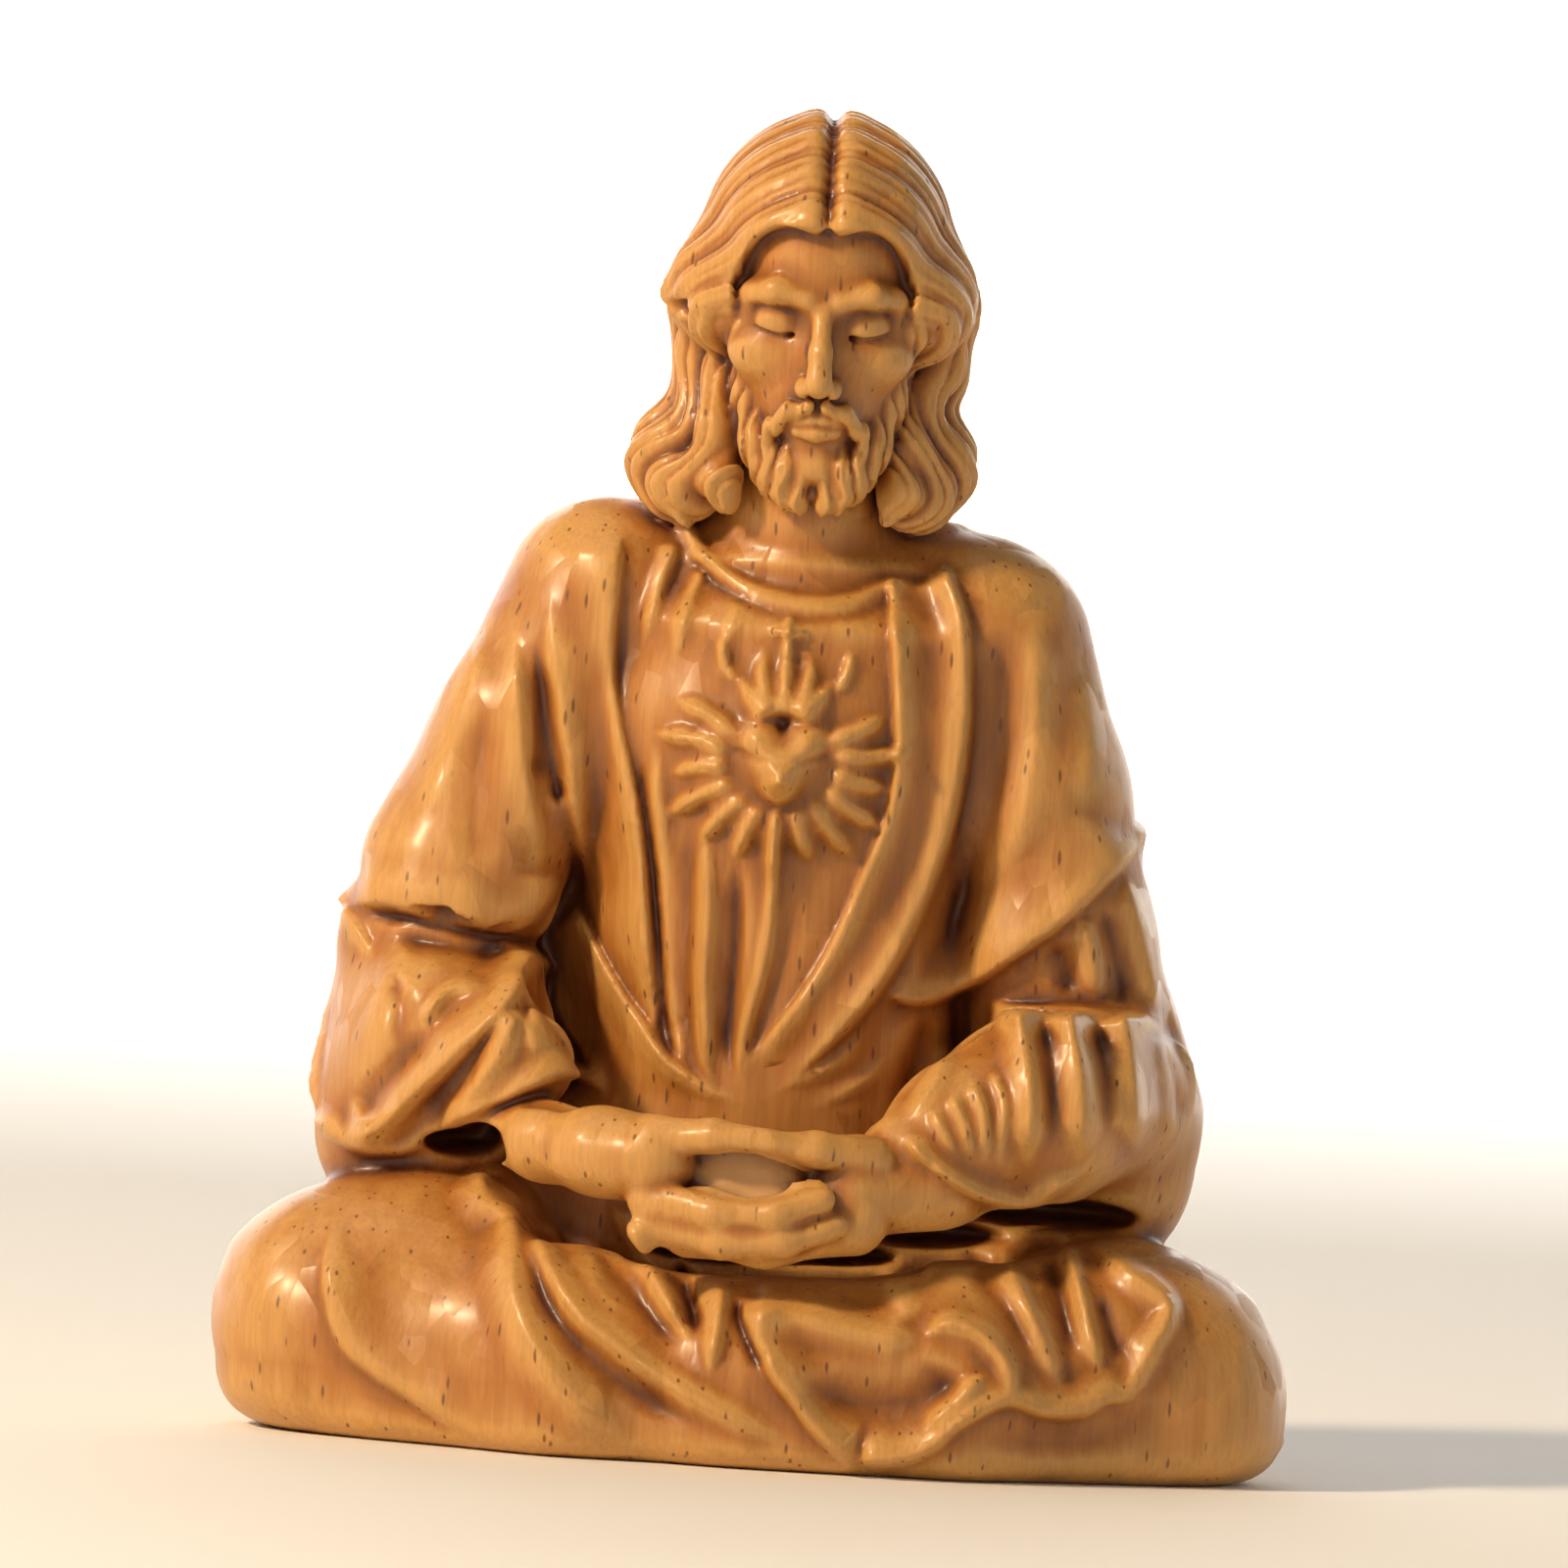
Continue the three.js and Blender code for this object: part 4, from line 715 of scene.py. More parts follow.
@dataclass
class TunicCarving:
    """The strokes over the breast: collar, mantle edges and the tunic's hanging folds."""

    def strokes(self) -> list[Stroke]:
        """The strokes of the breast."""
        return [
            # the collar, standing above the skin inside it
            stroke(1, [0.9, 2], [[-13, 100.5], [-10.5, 97], [-6, 94.2], [0, 92.9], [5, 93.4], [9.2, 95.4]],
                   [FULL, FULL]),
            stroke(-0.4, 0.8, [[-12.6, 97.2], [-9.6, 94.2], [-5, 92], [0, 91], [5, 91.5], [9, 93]],
                   [0.1, 0.1]),
            # the mantle's edge over the right breast, and the deep fold beside it
            stroke(1.3, [0.9, 6], [[-20, 99], [-20.2, 91], [-20, 84], [-19, 78.5], [-17.2, 72], [-15.8, 65],
                                   [-14.5, 55], [-13, 46]], [0.05, 0.2]),
            stroke(-2, [2.6, 1.3], [[-18.2, 78], [-15.6, 70], [-14, 62], [-12.8, 53], [-11.8, 45.5],
                                    [-10.6, 41.5]], [0.6, 0.15]),
            stroke(1.2, [4.5, 1.5], [[-27.5, 92.5], [-26.5, 86], [-25, 80], [-23.4, 72], [-21.8, 64],
                                     [-20.8, 57]]),
            stroke(-1.5, [1.8, 1], [[-28.8, 88], [-27.4, 81], [-26.2, 74.5], [-24.8, 69]], [0.4, 0.1]),
            stroke(1.3, [0.9, 5], [[-22.6, 59], [-19.4, 53], [-15.5, 47.5], [-11, 42.5], [-7, 40]],
                   [0.1, 0.25]),
            # the tunic's hanging folds
            stroke(1.4, [1.6, 2.2], [[-15, 78], [-14.2, 70], [-13, 60], [-12, 51], [-10, 43], [-8, 40]]),
            stroke(-0.7, 1.8, [[-10.8, 70], [-10.2, 56], [-9, 45], [-7, 41]]),
            stroke(1.5, [1.5, 2.1], [[-9, 69], [-8.2, 60], [-8, 50], [-7, 42], [-5.4, 39]]),
            stroke(-1.2, [1.4, 1.8], [[-5.4, 66], [-4.9, 55], [-5, 45], [-4, 40.4]]),
            stroke(1, 1.3, [[-1.8, 68], [-1.4, 60], [-2.2, 52], [-3.6, 44.5], [-3.4, 39.6]]),
            stroke(-0.5, 1.8, [[1.4, 62], [0.4, 54], [-1.8, 47], [-2, 42]]),
            # the folds that run out over the lap
            stroke(0.8, [1.2, 1.8], [[-15, 46.4], [-11.6, 42.6], [-7.4, 40], [-2.6, 38.6]], [0.2, 0.5]),
            stroke(0.6, [1.6, 1.2], [[10.4, 48], [7.4, 44.4], [3, 41.4], [-1, 39.6]], [0.3, 0.5]),
            stroke(0.5, 1.3, [[13.4, 46], [10.4, 42.4], [6.6, 39.8], [3, 38.6]], [0.3, 0.5]),
            # the mantle's turned edge, from the neck to the waist
            stroke(1.4, [4.6, 0.9], [[9.4, 96.5], [10.2, 89], [11, 82], [11.3, 76], [10.6, 70], [8.6, 64],
                                     [6, 57], [3, 51], [-0.5, 46], [-4.5, 41]], [0.03, 0.2]),
            stroke(2.4, [1.1, 4.6], [[14.7, 98], [17.2, 92], [18, 86], [18.2, 80], [17.8, 74], [16.6, 67],
                                     [14.4, 60], [11.8, 54], [8.2, 48.5], [4, 43.5], [0.5, 39.5]],
                   [0.03, 0.2]),
            stroke(-1.1, 4, [[21.4, 92], [22, 80], [20.8, 68], [17.6, 58], [13, 50], [7.6, 43.6]],
                   [0.1, 0.3]),
            # the mantle's hem across the left arm
            stroke(2.3, [8, 0.9], [[11, 51], [16, 50.8], [21, 53.2], [26, 57], [31, 61.2], [36, 66.8],
                                   [38.6, 70]], [0.1, 0.12]),
            stroke(0.7, 3.4, [[24.5, 94], [26, 84], [25.5, 74], [23, 64]]),
            stroke(0.6, 3.4, [[31, 88], [32, 80], [31.5, 72]]),
            # pleats from the right shoulder
            stroke(1.2, [1.2, 2], [[-14, 98.5], [-15.4, 93.5], [-17, 86]], [0.1, 0.5]),
            stroke(0.9, [0.9, 1.5], [[-10.8, 96], [-12.3, 91.5], [-13.6, 84]], [0.1, 0.5]),
            stroke(0.5, 1.4, [[-6.6, 92.6], [-8, 88], [-9, 82]], [0.1, 0.5]),
        ]


@dataclass
class Emblem:
    """The heart on the breast: bound with a thorn band, flames and a cross above, leaf-shaped rays round it.

    Attributes:
        centre: The middle of the heart on the front.
        heart: Half its width, to the middle of a lobe.
        rays: How many long rays there are, from the viewer's left under the heart to the right.
        first: The way that the first one points, in degrees anticlockwise from the viewer's right.
        flames: How many flames stand above it.
    """

    centre: tuple[float, float] = (-1.3, 75.6)
    heart: float = 2.9
    rays: int = 13
    first: float = 152
    flames: int = 5

    def strokes(self) -> list[Stroke]:
        """The strokes of the emblem."""
        cu, cv = self.centre
        w = self.heart
        out = [
            # the raised ground, and on it the heart's two lobes, its point and the dip between the lobes
            stroke(0.9, 11.5, [[cu - 2, cv], [cu + 2, cv]], [FULL, FULL]),
            stroke(0.9, 8, [[cu - 0.6, cv + 0.4], [cu + 0.6, cv + 0.4]], [FULL, FULL]),
            *(stroke(1.7, 3.3, [[cu + s * w, cv + 2], [cu + 0.3 * s, cv - 1.8]], [FULL, FULL])
              for s in (-1, 1)),
            stroke(1.3, 2.6, [[cu, cv - 1.6], [cu, cv - 6]], [0.2, 0.5]),
            stroke(-0.9, 1, [[cu, cv + 5], [cu, cv + 2.2]], [0.3, 0.5]),
            # the band of thorns round it
            stroke(-0.6, 0.5, [[cu - w - 2, cv + 0.8], [cu, cv - 0.4], [cu + w + 2, cv + 0.8]], [FULL, FULL]),
            # the cross in the flames, and the spikes beside them
            stroke(1.3, 0.8, [[cu, cv + 11.6], [cu, cv + 15]], [FULL, FULL]),
            stroke(1.3, 0.75, [[cu - 1.5, cv + 13.8], [cu + 1.5, cv + 13.8]], [FULL, FULL]),
            stroke(1, 0.9, [[cu - 7.3, cv + 13.4], [cu - 6.4, cv + 9.6], [cu - 5, cv + 8]]),
            stroke(1, 0.9, [[cu + 7, cv + 12.4], [cu + 6.4, cv + 9.2], [cu + 5.2, cv + 7.4]]),
            # the long ray below
            stroke(1.1, 1, [[cu - 0.3, cv - 5], [cu, cv - 12], [cu - 0.2, cv - 19]], [0.1, 0.5]),
        ]
        span = 2 * (270 - self.first) / (self.rays - 1)
        for i in range(self.rays):
            degrees = self.first + i * span
            out.append(self.ray(degrees, 13.6 + 1.2 * math.sin(2.4 * i), 1.5))
            if i:
                out.append(self.ray(degrees - span / 2, 10.6, 0.6))
        for i in range(self.flames):
            lean = i - (self.flames - 1) / 2
            foot, tip = [cu + 0.9 * lean, cv + 4], [cu + 2.3 * lean, cv + 13.6 - 1.1 * lean * lean]
            out.append(stroke(1.8, 1.7, [foot, [cu + 2.5 * lean, cv + 8.8], tip], [0.2, 0.6]))
        return out

    def ray(self, degrees: float, reach: float, rise: float) -> Stroke:
        """One leaf-shaped ray.

        Args:
            degrees: The way that it points.
            reach: How far its tip is from the middle of the heart.
            rise: How high it stands.

        Returns:
            Its stroke.
        """
        cu, cv = self.centre
        c, s = math.cos(math.radians(degrees)), 0.94 * math.sin(math.radians(degrees))
        foot, tip = [cu + 4.8 * c, cv + 4.8 * s], [cu + reach * c, cv + reach * s]
        bend = [cu + 0.7 * reach * c + 0.4 * s, cv + 0.7 * reach * s - 0.4 * c]
        return stroke(rise, 1.5, [foot, bend, tip], [0.3, 0.35])


@dataclass
class RightSleeveCarving:
    """The strokes over the right arm, at -X."""

    def strokes(self) -> list[Stroke]:
        """The strokes of the right sleeve."""
        return self.upper() + self.lower()

    def upper(self) -> list[Stroke]:
        """The upper sleeve and its hem."""
        return [
            stroke(1, [1.2, 4.5], [[-30.6, 89], [-29.8, 80], [-28.5, 72], [-26.8, 66.5], [-26.4, 61]]),
            stroke(0.7, 3.4, [[-34, 88], [-37, 76], [-39.5, 66]]),
            stroke(-0.6, 3.4, [[-33, 80], [-33.6, 69], [-33, 61]]),
            stroke(1.4, [5, 0.8], [[-46.8, 57.4], [-43, 57.8], [-38.5, 57.2], [-34.5, 56.8], [-31.5, 55.8],
                                   [-28, 56.4], [-25.5, 59], [-24.4, 62.5]], [0.1, 0.1]),
            stroke(-1, 1.3, [[-46, 56.4], [-40, 56.2], [-34, 55.4], [-28, 54.6]]),
        ]

    def lower(self) -> list[Stroke]:
        """The wide lower sleeve, drawn up to a peak, and its mouth."""
        return [
            stroke(0.9, [1.2, 2], [[-47.4, 56.6], [-45.4, 54], [-43.4, 51]], [FULL, 0.6]),
            stroke(-0.8, 2.4, [[-42, 54.4], [-37.4, 53.4], [-32, 52.8], [-28.4, 53.4]]),
            # the long fold from the peak to the elbow, and the hook over it
            stroke(3, [3, 4.6], [[-26.2, 54], [-28.4, 49.4], [-31.5, 45.2], [-35, 41.4], [-38.6, 37.4],
                                 [-42, 33.8], [-46, 31.8]], [0.04, 0.1]),
            stroke(-1.3, 2.6, [[-36.4, 44.6], [-39.4, 41.4], [-42.4, 37], [-44.6, 33.6]]),
            stroke(1.5, [1.2, 1.8], [[-38, 43.8], [-37.4, 46.6], [-35, 49.2], [-31, 49.8]]),
            stroke(-0.7, 1.8, [[-41.6, 50.6], [-40.4, 46.6], [-40.6, 42]]),
            # the plane between the long fold and the mouth
            stroke(-0.8, [1, 1.6], [[-29, 47], [-32.4, 42], [-35.8, 38], [-39.4, 34]]),
            stroke(1.9, [2.8, 2.2], [[-27.4, 47.4], [-29.8, 42], [-32.6, 37.8], [-35.4, 34]], [0.1, 0.2]),
            stroke(0.8, [3, 0.9], [[-26.4, 51.6], [-26.2, 46.6], [-25.8, 42]]),
            stroke(-1.2, 1, [[-24.4, 53], [-24.6, 47.4], [-22, 43.2], [-18.8, 39.8]]),
            stroke(1.4, [3, 0.8], [[-47.5, 32.6], [-45, 31.4], [-42, 31], [-38.5, 31.6], [-35, 34],
                                   [-31, 36.4], [-27.4, 38.4], [-23, 40.4], [-20, 40.2], [-17.6, 38.2]],
                   [FULL, 0.1]),
        ]


@dataclass
class LeftSleeveCarving:
    """The strokes over the left forearm, at +X.

    Attributes:
        rolls: Where the rolls of the gathered sleeve stand.
        pleats: How many fine pleats the cuff has.
    """

    rolls: Sequence[float] = (26.4, 32, 38)
    pleats: int = 4

    def strokes(self) -> list[Stroke]:
        """The strokes of the left sleeve."""
        out = []
        for i, u in enumerate(self.rolls):
            crest = [[u - 0.8, 51], [u + 0.6, 45], [u + 1.4, 39], [u + 1.2, 33 + i]]
            out.append(stroke(2.3 - 0.3 * i, [2.6, 3.6], crest, [0.06, 0.3]))
            dip = [[u + 2.2, 50], [u + 3.6, 43], [u + 4, 36 + 0.8 * i]]
            out.append(stroke(-0.4, [1.4, 1.8], dip, [0.15, 0.4]))
        for i in range(self.pleats):
            u, v = 17.2 + 2 * i, 39.4 + 1.6 * i
            line = [[u, v], [u + 1.7, v - 3 - 0.5 * i], [20.6 + 1.3 * i, 33.6 - 0.4 * i]]
            out.append(stroke(0.9, [0.8, 1.2], line, [0.1, 0.5]))
        return out + [
            stroke(1.5, [0.9, 3.4], [[22.5, 51], [26, 50.2], [31, 50.6], [37, 50.4], [41, 49.6]], [0.1, 0.1]),
            # the edge of the cuff
            stroke(1.6, [2.4, 0.9], [[14, 36.6], [16.5, 34.2], [20, 31.8], [24, 30], [28, 29.4], [31, 31.6],
                                     [35, 34.4]], [0.1, 0.2]),
            # the sleeve between the mantle's hem and the rolls
            stroke(1.2, [1.4, 2.6], [[31.4, 61.6], [33.4, 57.5], [34.4, 51.6]]),
            stroke(-1, 1.8, [[34, 62.6], [36, 56.6], [37.2, 51]]),
            stroke(1.2, [1.4, 2.4], [[36.4, 66], [39, 58.6], [41, 50.6]]),
            stroke(-1, 2.2, [[29, 58], [30.6, 54.6], [31, 52]]),
            stroke(-1, 2, [[41.6, 52], [43.4, 45], [43.8, 38]]),
            # the tunic between them and the folds
            stroke(-0.7, 2, [[16, 50], [15, 44], [12.6, 38]]),
            stroke(0.7, 1.8, [[19, 47], [17, 42], [14.6, 38]]),
        ]


@dataclass
class SkirtCarving:
    """The strokes over the skirt on both shins."""

    def strokes(self) -> list[Stroke]:
        """The strokes of the skirt."""
        return self.right_shin() + self.left_shin()

    def right_shin(self) -> list[Stroke]:
        """The folds at -X."""
        return [
            stroke(1.5, [6, 1.2], [[-46, 24], [-46.4, 18], [-45, 12], [-42, 8.5], [-36, 5], [-29, 1]]),
            stroke(2, [3.4, 4.4], [[-31.6, 30.6], [-29.8, 27.4], [-27.2, 25], [-26.8, 21], [-26.2, 17],
                                   [-23.6, 11.5], [-19, 6.5], [-12.6, 2]], [0.06, 0.2]),
            stroke(-1.1, [2.6, 2.2], [[-25, 22], [-22.5, 16], [-18, 11], [-12, 7], [-5, 3.6]]),
            stroke(1.5, [2.6, 2.2], [[-26, 25.4], [-24, 22.8], [-22, 18.8], [-19.2, 15.2], [-15.6, 12.8],
                                     [-9.6, 8.8], [-2, 5.2], [5, 2.6]], [0.1, 0.2]),
            stroke(1.6, [2.4, 2], [[-17, 27], [-14, 23.8], [-11.8, 20.5], [-9.6, 17], [-7, 13]]),
            stroke(-1, 2.2, [[-18.4, 23], [-15.4, 19.4], [-11.6, 15.4], [-7.6, 11.6]]),
            stroke(-2, [1.4, 1.8], [[-9.2, 22], [-7.8, 18], [-6.2, 13.6]]),
            stroke(1.6, [1.5, 2], [[-4.2, 19.6], [-4.4, 14.6], [-5, 9]], [0.1, 0.4]),
        ]

    def left_shin(self) -> list[Stroke]:
        """The folds at +X."""
        return [
            stroke(-1.2, 1.5, [[-2.6, 18.6], [-1, 14], [1.4, 10]]),
            stroke(2.2, [5, 1], [[-2, 18], [-0.4, 14], [2, 10], [4.6, 7], [7, 4.2], [11, 1]], [0.1, 0.1]),
            stroke(1.6, [3, 3.4], [[-1.2, 17.4], [4, 16.8], [9, 15.8], [14, 15], [18, 14.8]], [0.1, 0.2]),
            stroke(-1.7, 4.4, [[4, 10.4], [8, 8.2], [13, 7.6], [18, 8.6], [22, 12]], [0.3, 0.15]),
            stroke(1.9, [1.8, 2.2], [[17.4, 15], [20.4, 16.8], [24.2, 15.6], [27, 12.4], [27.6, 9]]),
            stroke(1.2, 1.6, [[25, 12], [21.4, 8.6], [18, 5]]),
            stroke(-0.7, 1.8, [[21.6, 26], [23.6, 21.5], [27, 17.4], [30, 13]]),
            stroke(1.2, [1.6, 2.2], [[25, 25.6], [28.6, 19.4], [31.4, 13.6], [33, 9.6]]),
            stroke(-0.9, 1.6, [[29.6, 26], [32, 19.6], [34, 13]]),
            stroke(1.5, [1.4, 2], [[31.4, 28], [34, 21.8], [35.6, 16.6], [37.2, 11.4]]),
            stroke(-0.8, 1.8, [[36.4, 21], [38, 16], [40, 13.6]]),
            stroke(1.7, [1.6, 3], [[34.6, 26.4], [40, 23], [44, 19.8], [42.2, 14.8], [39.6, 10.6]]),
            # the hem
            stroke(2, [4.4, 1], [[11, 1.6], [16, 1.8], [19.5, 3.5], [22, 6], [27, 8.7], [31, 7.8], [35, 8],
                                 [37.5, 9.5], [40, 10], [43, 13.5], [45.4, 16.6]], [0.05, 0.35]),
            stroke(-0.7, 3.4, [[24, 4.6], [31, 4.4], [38, 5.6], [44, 10]]),
            stroke(0.7, 2.8, [[13, 22.8], [15, 19], [16.4, 16]]),
        ]


@dataclass
class BackCarving:
    """The back, as (right, up) in x and z. The mantle hangs from the left shoulder in long, shallow swags."""

    def strokes(self) -> list[Stroke]:
        """The strokes of the back."""
        swags = [
            (1.6, [[24, 96], [10, 86], [-8, 80], [-26, 82]]),
            (1.8, [[26, 86], [12, 72], [-6, 63], [-30, 64]]),
            (1.8, [[29, 73], [16, 58], [-2, 47], [-30, 46]]),
            (1.7, [[32, 60], [22, 45], [6, 33], [-24, 30]]),
            (1.6, [[36, 46], [30, 32], [16, 20], [-12, 15]]),
        ]
        pleats = enumerate((-36, -20, -3, 18, 37))
        return [
            *(stroke(rise, [2.4, 5], points, [0.3, 0.35]) for rise, points in swags),
            *(stroke(1.4, [2, 3.4], [[u * 0.85, 24 - (i % 2) * 7], [u, 2]], [0.5, FULL]) for i, u in pleats),
            stroke(1.5, [3, 0.9], [[-22, 96], [-10, 94], [4, 97], [20, 101]]),
        ]


@dataclass
class FlankCarving:
    """The flanks, as (y, up)."""

    def right(self) -> list[Stroke]:
        """The strokes of the right flank, at -X."""
        return [
            stroke(1.2, 2, [[10, 94], [12, 80], [9, 66], [4, 59]]),
            stroke(1, 2, [[-4, 90], [-3, 76], [-2, 64]]),
            stroke(1.1, [0.8, 4], [[16, 60], [6, 57.6], [-8, 57.5]], [0.1, FULL]),
            stroke(1.4, 2, [[10, 55], [6, 46], [0, 38], [-8, 33]]),
            stroke(1.2, 1.8, [[16, 52], [13, 42], [6, 34]]),
            stroke(0.6, 5, [[20, 24], [4, 22], [-12, 20]]),
            stroke(1.2, 2.6, [[24, 14], [8, 10], [-10, 6]]),
        ]

    def left(self) -> list[Stroke]:
        """The strokes of the left flank, at +X."""
        return [
            stroke(1, 2.4, [[8, 94], [11, 82], [10, 72]]),
            stroke(1.2, [0.8, 5], [[-8, 70], [4, 70.5], [16, 75]], [FULL, 0.2]),
            stroke(1.2, 2, [[-2, 66], [0, 54], [-2, 42], [-6, 34]]),
            stroke(1.2, 2, [[8, 68], [10, 54], [6, 40]]),
            stroke(0.6, 5, [[20, 22], [4, 22], [-12, 20]]),
            stroke(1.2, 2.6, [[24, 12], [8, 9], [-10, 5]]),
        ]


# The carved block


class Block:
    """A grid of signed distances that is filled, carved, cut and meshed.

    Attributes:
        cell: Spacing of the samples in millimetres.
        heights: The height of every layer of samples.
        bricks: How many bricks there are along each axis.
        counts: How many samples there are along each axis.
        strides: How far apart neighbours along each axis are in the flat row of samples.
        values: The distances, one row along X after another.
        active: The flat numbers of the samples near the surface.
    """

    LOW = (-62.0, -41.0, -2.5)
    HIGH = (62.0, 41.0, 150.0)
    HEAD = (90.0, 104.0)  # between these heights the samples draw closer together
    HEAD_SHARE = 0.6  # share of the spacing that is left above them
    BRICK = 6  # samples along a brick, the unit that is either sampled finely or passed over
    RELIEF = 3.6  # no relief moves the surface further than this
    RUN = 60000  # samples that one thread takes at a time
    THREADS = 4

    def __init__(self, cell: float) -> None:
        """Lays out the grid."""
        self.cell = cell
        heights = [self.LOW[2]]
        while heights[-1] < self.HIGH[2] or (len(heights) - 1) % self.BRICK:
            heights.append(heights[-1] + cell * float(self.share(np.float64(heights[-1]))))
        self.heights = np.array(heights, dtype=np.float32)
        flat = [math.ceil((b - a) / cell / self.BRICK) for a, b in zip(self.LOW[:2], self.HIGH[:2])]
        self.bricks = [*flat, (len(heights) - 1) // self.BRICK]
        self.counts = [n * self.BRICK for n in self.bricks]
        self.strides = (1, self.counts[0], self.counts[0] * self.counts[1])
        self.values = np.empty(0, dtype=np.float32)
        self.active = np.empty(0, dtype=np.int64)

    def share(self, z: Array) -> Array:
        """Share of the full spacing that the samples keep at a height."""
        return 1 - (1 - self.HEAD_SHARE) * ramp(z, *self.HEAD)

    def place(self, i: Array, j: Array, k: Array) -> tuple[Array, Array, Array]:
        """Where a point of the grid lies, from its three numbers, which needn't be whole.

        Args:
            i: Its number along X.
            j: Its number along Y.
            k: Its number along Z.

        Returns:
            Its place in millimetres.
        """
        low = np.floor(k).astype(np.int32)
        above = np.minimum(low + 1, len(self.heights) - 1)
        z = self.heights[low] + (k - low) * (self.heights[above] - self.heights[low])
        share = self.share(z)
        x = (self.LOW[0] + i * self.cell) * share
        y = (self.LOW[1] + j * self.cell) * share
        return x.astype(np.float32), y.astype(np.float32), z.astype(np.float32)

    def positions(self, flat: Array) -> tuple[Array, Array, Array]:
        """Where samples lie, from their flat numbers.

        Args:
            flat: The numbers.

        Returns:
            Their places in millimetres.
        """
        nx, ny, _ = self.counts
        k, rest = np.divmod(flat, nx * ny)
        j, i = np.divmod(rest, nx)
        return self.place(i, j, k)

    def map(self, form: Callable[..., Array], flat: Array, *extra: Array) -> Array:
        """Evaluates a function at many samples, in parallel runs that fit the cache.

        Args:
            form: The function of a place, and of the extra values.
            flat: The samples' flat numbers.
            *extra: More values for each sample.

        Returns:
            The function's value for each.
        """
        runs = np.array_split(np.arange(len(flat)), max(1, len(flat) // self.RUN))

        def one(run: Array) -> Array:
            """The values for one run."""
            return form(*self.positions(flat[run]), *(e[run] for e in extra)).astype(np.float32)

        with ThreadPoolExecutor(self.THREADS) as pool:
            return np.concatenate(list(pool.map(one, runs)))

    def fill(self, form: Form, cut: Form) -> None:
        """Samples the form near its surface, and roughly elsewhere.

        Args:
            form: The bare figure.
            cut: What will be cut from it, so that samples near that surface are ready too.
        """
        b = self.BRICK
        bx, by, bz = self.bricks
        k, j, i = np.meshgrid(*(np.arange(n) * b for n in (bz, by, bx)), indexing="ij")
        first = ((k * self.counts[1] + j) * self.counts[0] + i).ravel()
        middle = first + (b // 2) * sum(self.strides)

        def rough(x: Array, y: Array, z: Array) -> Array:
            """The figure with its cuts, ending at the sole."""
            return np.maximum(np.maximum(form(x, y, z), -cut(x, y, z)), SOLE - z)

        final = self.map(rough, middle)
        shape = (bz, b, by, b, bx, b)
        self.values = np.empty(np.prod(self.counts), dtype=np.float32)
        self.values.reshape(shape)[...] = final.reshape(bz, 1, by, 1, bx, 1)
        near = np.abs(final) < b * self.cell * 0.9 + self.RELIEF
        step = np.arange(b)
        offsets = (step[:, None, None] * self.strides[2] + step[:, None] * self.strides[1] + step).ravel()
        self.active = (first[near][:, None] + offsets).ravel()
        self.values[self.active] = self.map(form, self.active)
        LOG.info("block: %d samples, %d of them near the surface", len(self.values), len(self.active))

    def gradient(self) -> tuple[Array, Array, Array]:
        """The way the surface faces at every active sample.

        Returns:
            The three parts of a unit vector.
        """
        parts = []
        for stride in self.strides:
            ahead = np.clip(self.active + stride, 0, len(self.values) - 1)
            behind = np.clip(self.active - stride, 0, len(self.values) - 1)
            parts.append(self.values[ahead] - self.values[behind])
        length = np.sqrt(sum(p * p for p in parts)) + 1e-6
        return tuple(p / length for p in parts)

    def change(self, function: Callable[..., Array], *extra: Array) -> None:
        """Replaces the active samples' distances by a function of place and distance."""
        self.values[self.active] = self.map(function, self.active, self.values[self.active], *extra)

    def openness(self, radius: float, corner: Array, within: Array) -> Array:
        """Share of solid in a box round points: over a half in a recess, under a half on a crest.

        Args:
            radius: Half the size of the box, in millimetres.
            corner: The flat number of each point's cell.
            within: Its place in that cell, from 0 to 1 along each axis.

        Returns:
            The share for each point.
        """
        nx, ny, nz = self.counts
        solid = np.clip(0.5 - self.values / self.cell, 0, 1).reshape(nz, ny, nx)
        half = max(1, round(radius / self.cell))
        for axis in range(3):
            last = solid.shape[axis] - 1
            total = np.cumsum(solid, axis=axis, dtype=np.float32)
            at = np.arange(last + 1)
            upper = np.take(total, np.minimum(at + half, last), axis=axis)
            solid = (upper - np.take(total, np.maximum(at - half - 1, 0), axis=axis)) / (2 * half + 1)
        solid = solid.ravel()
        share = np.zeros(len(corner), dtype=np.float32)
        for c in range(8):
            bits = [c >> axis & 1 for axis in range(3)]
            weight = np.prod([within[:, a] if bits[a] else 1 - within[:, a] for a in range(3)], axis=0)
            share += weight * solid[corner + sum(s for bit, s in zip(bits, self.strides) if bit)]
        return share

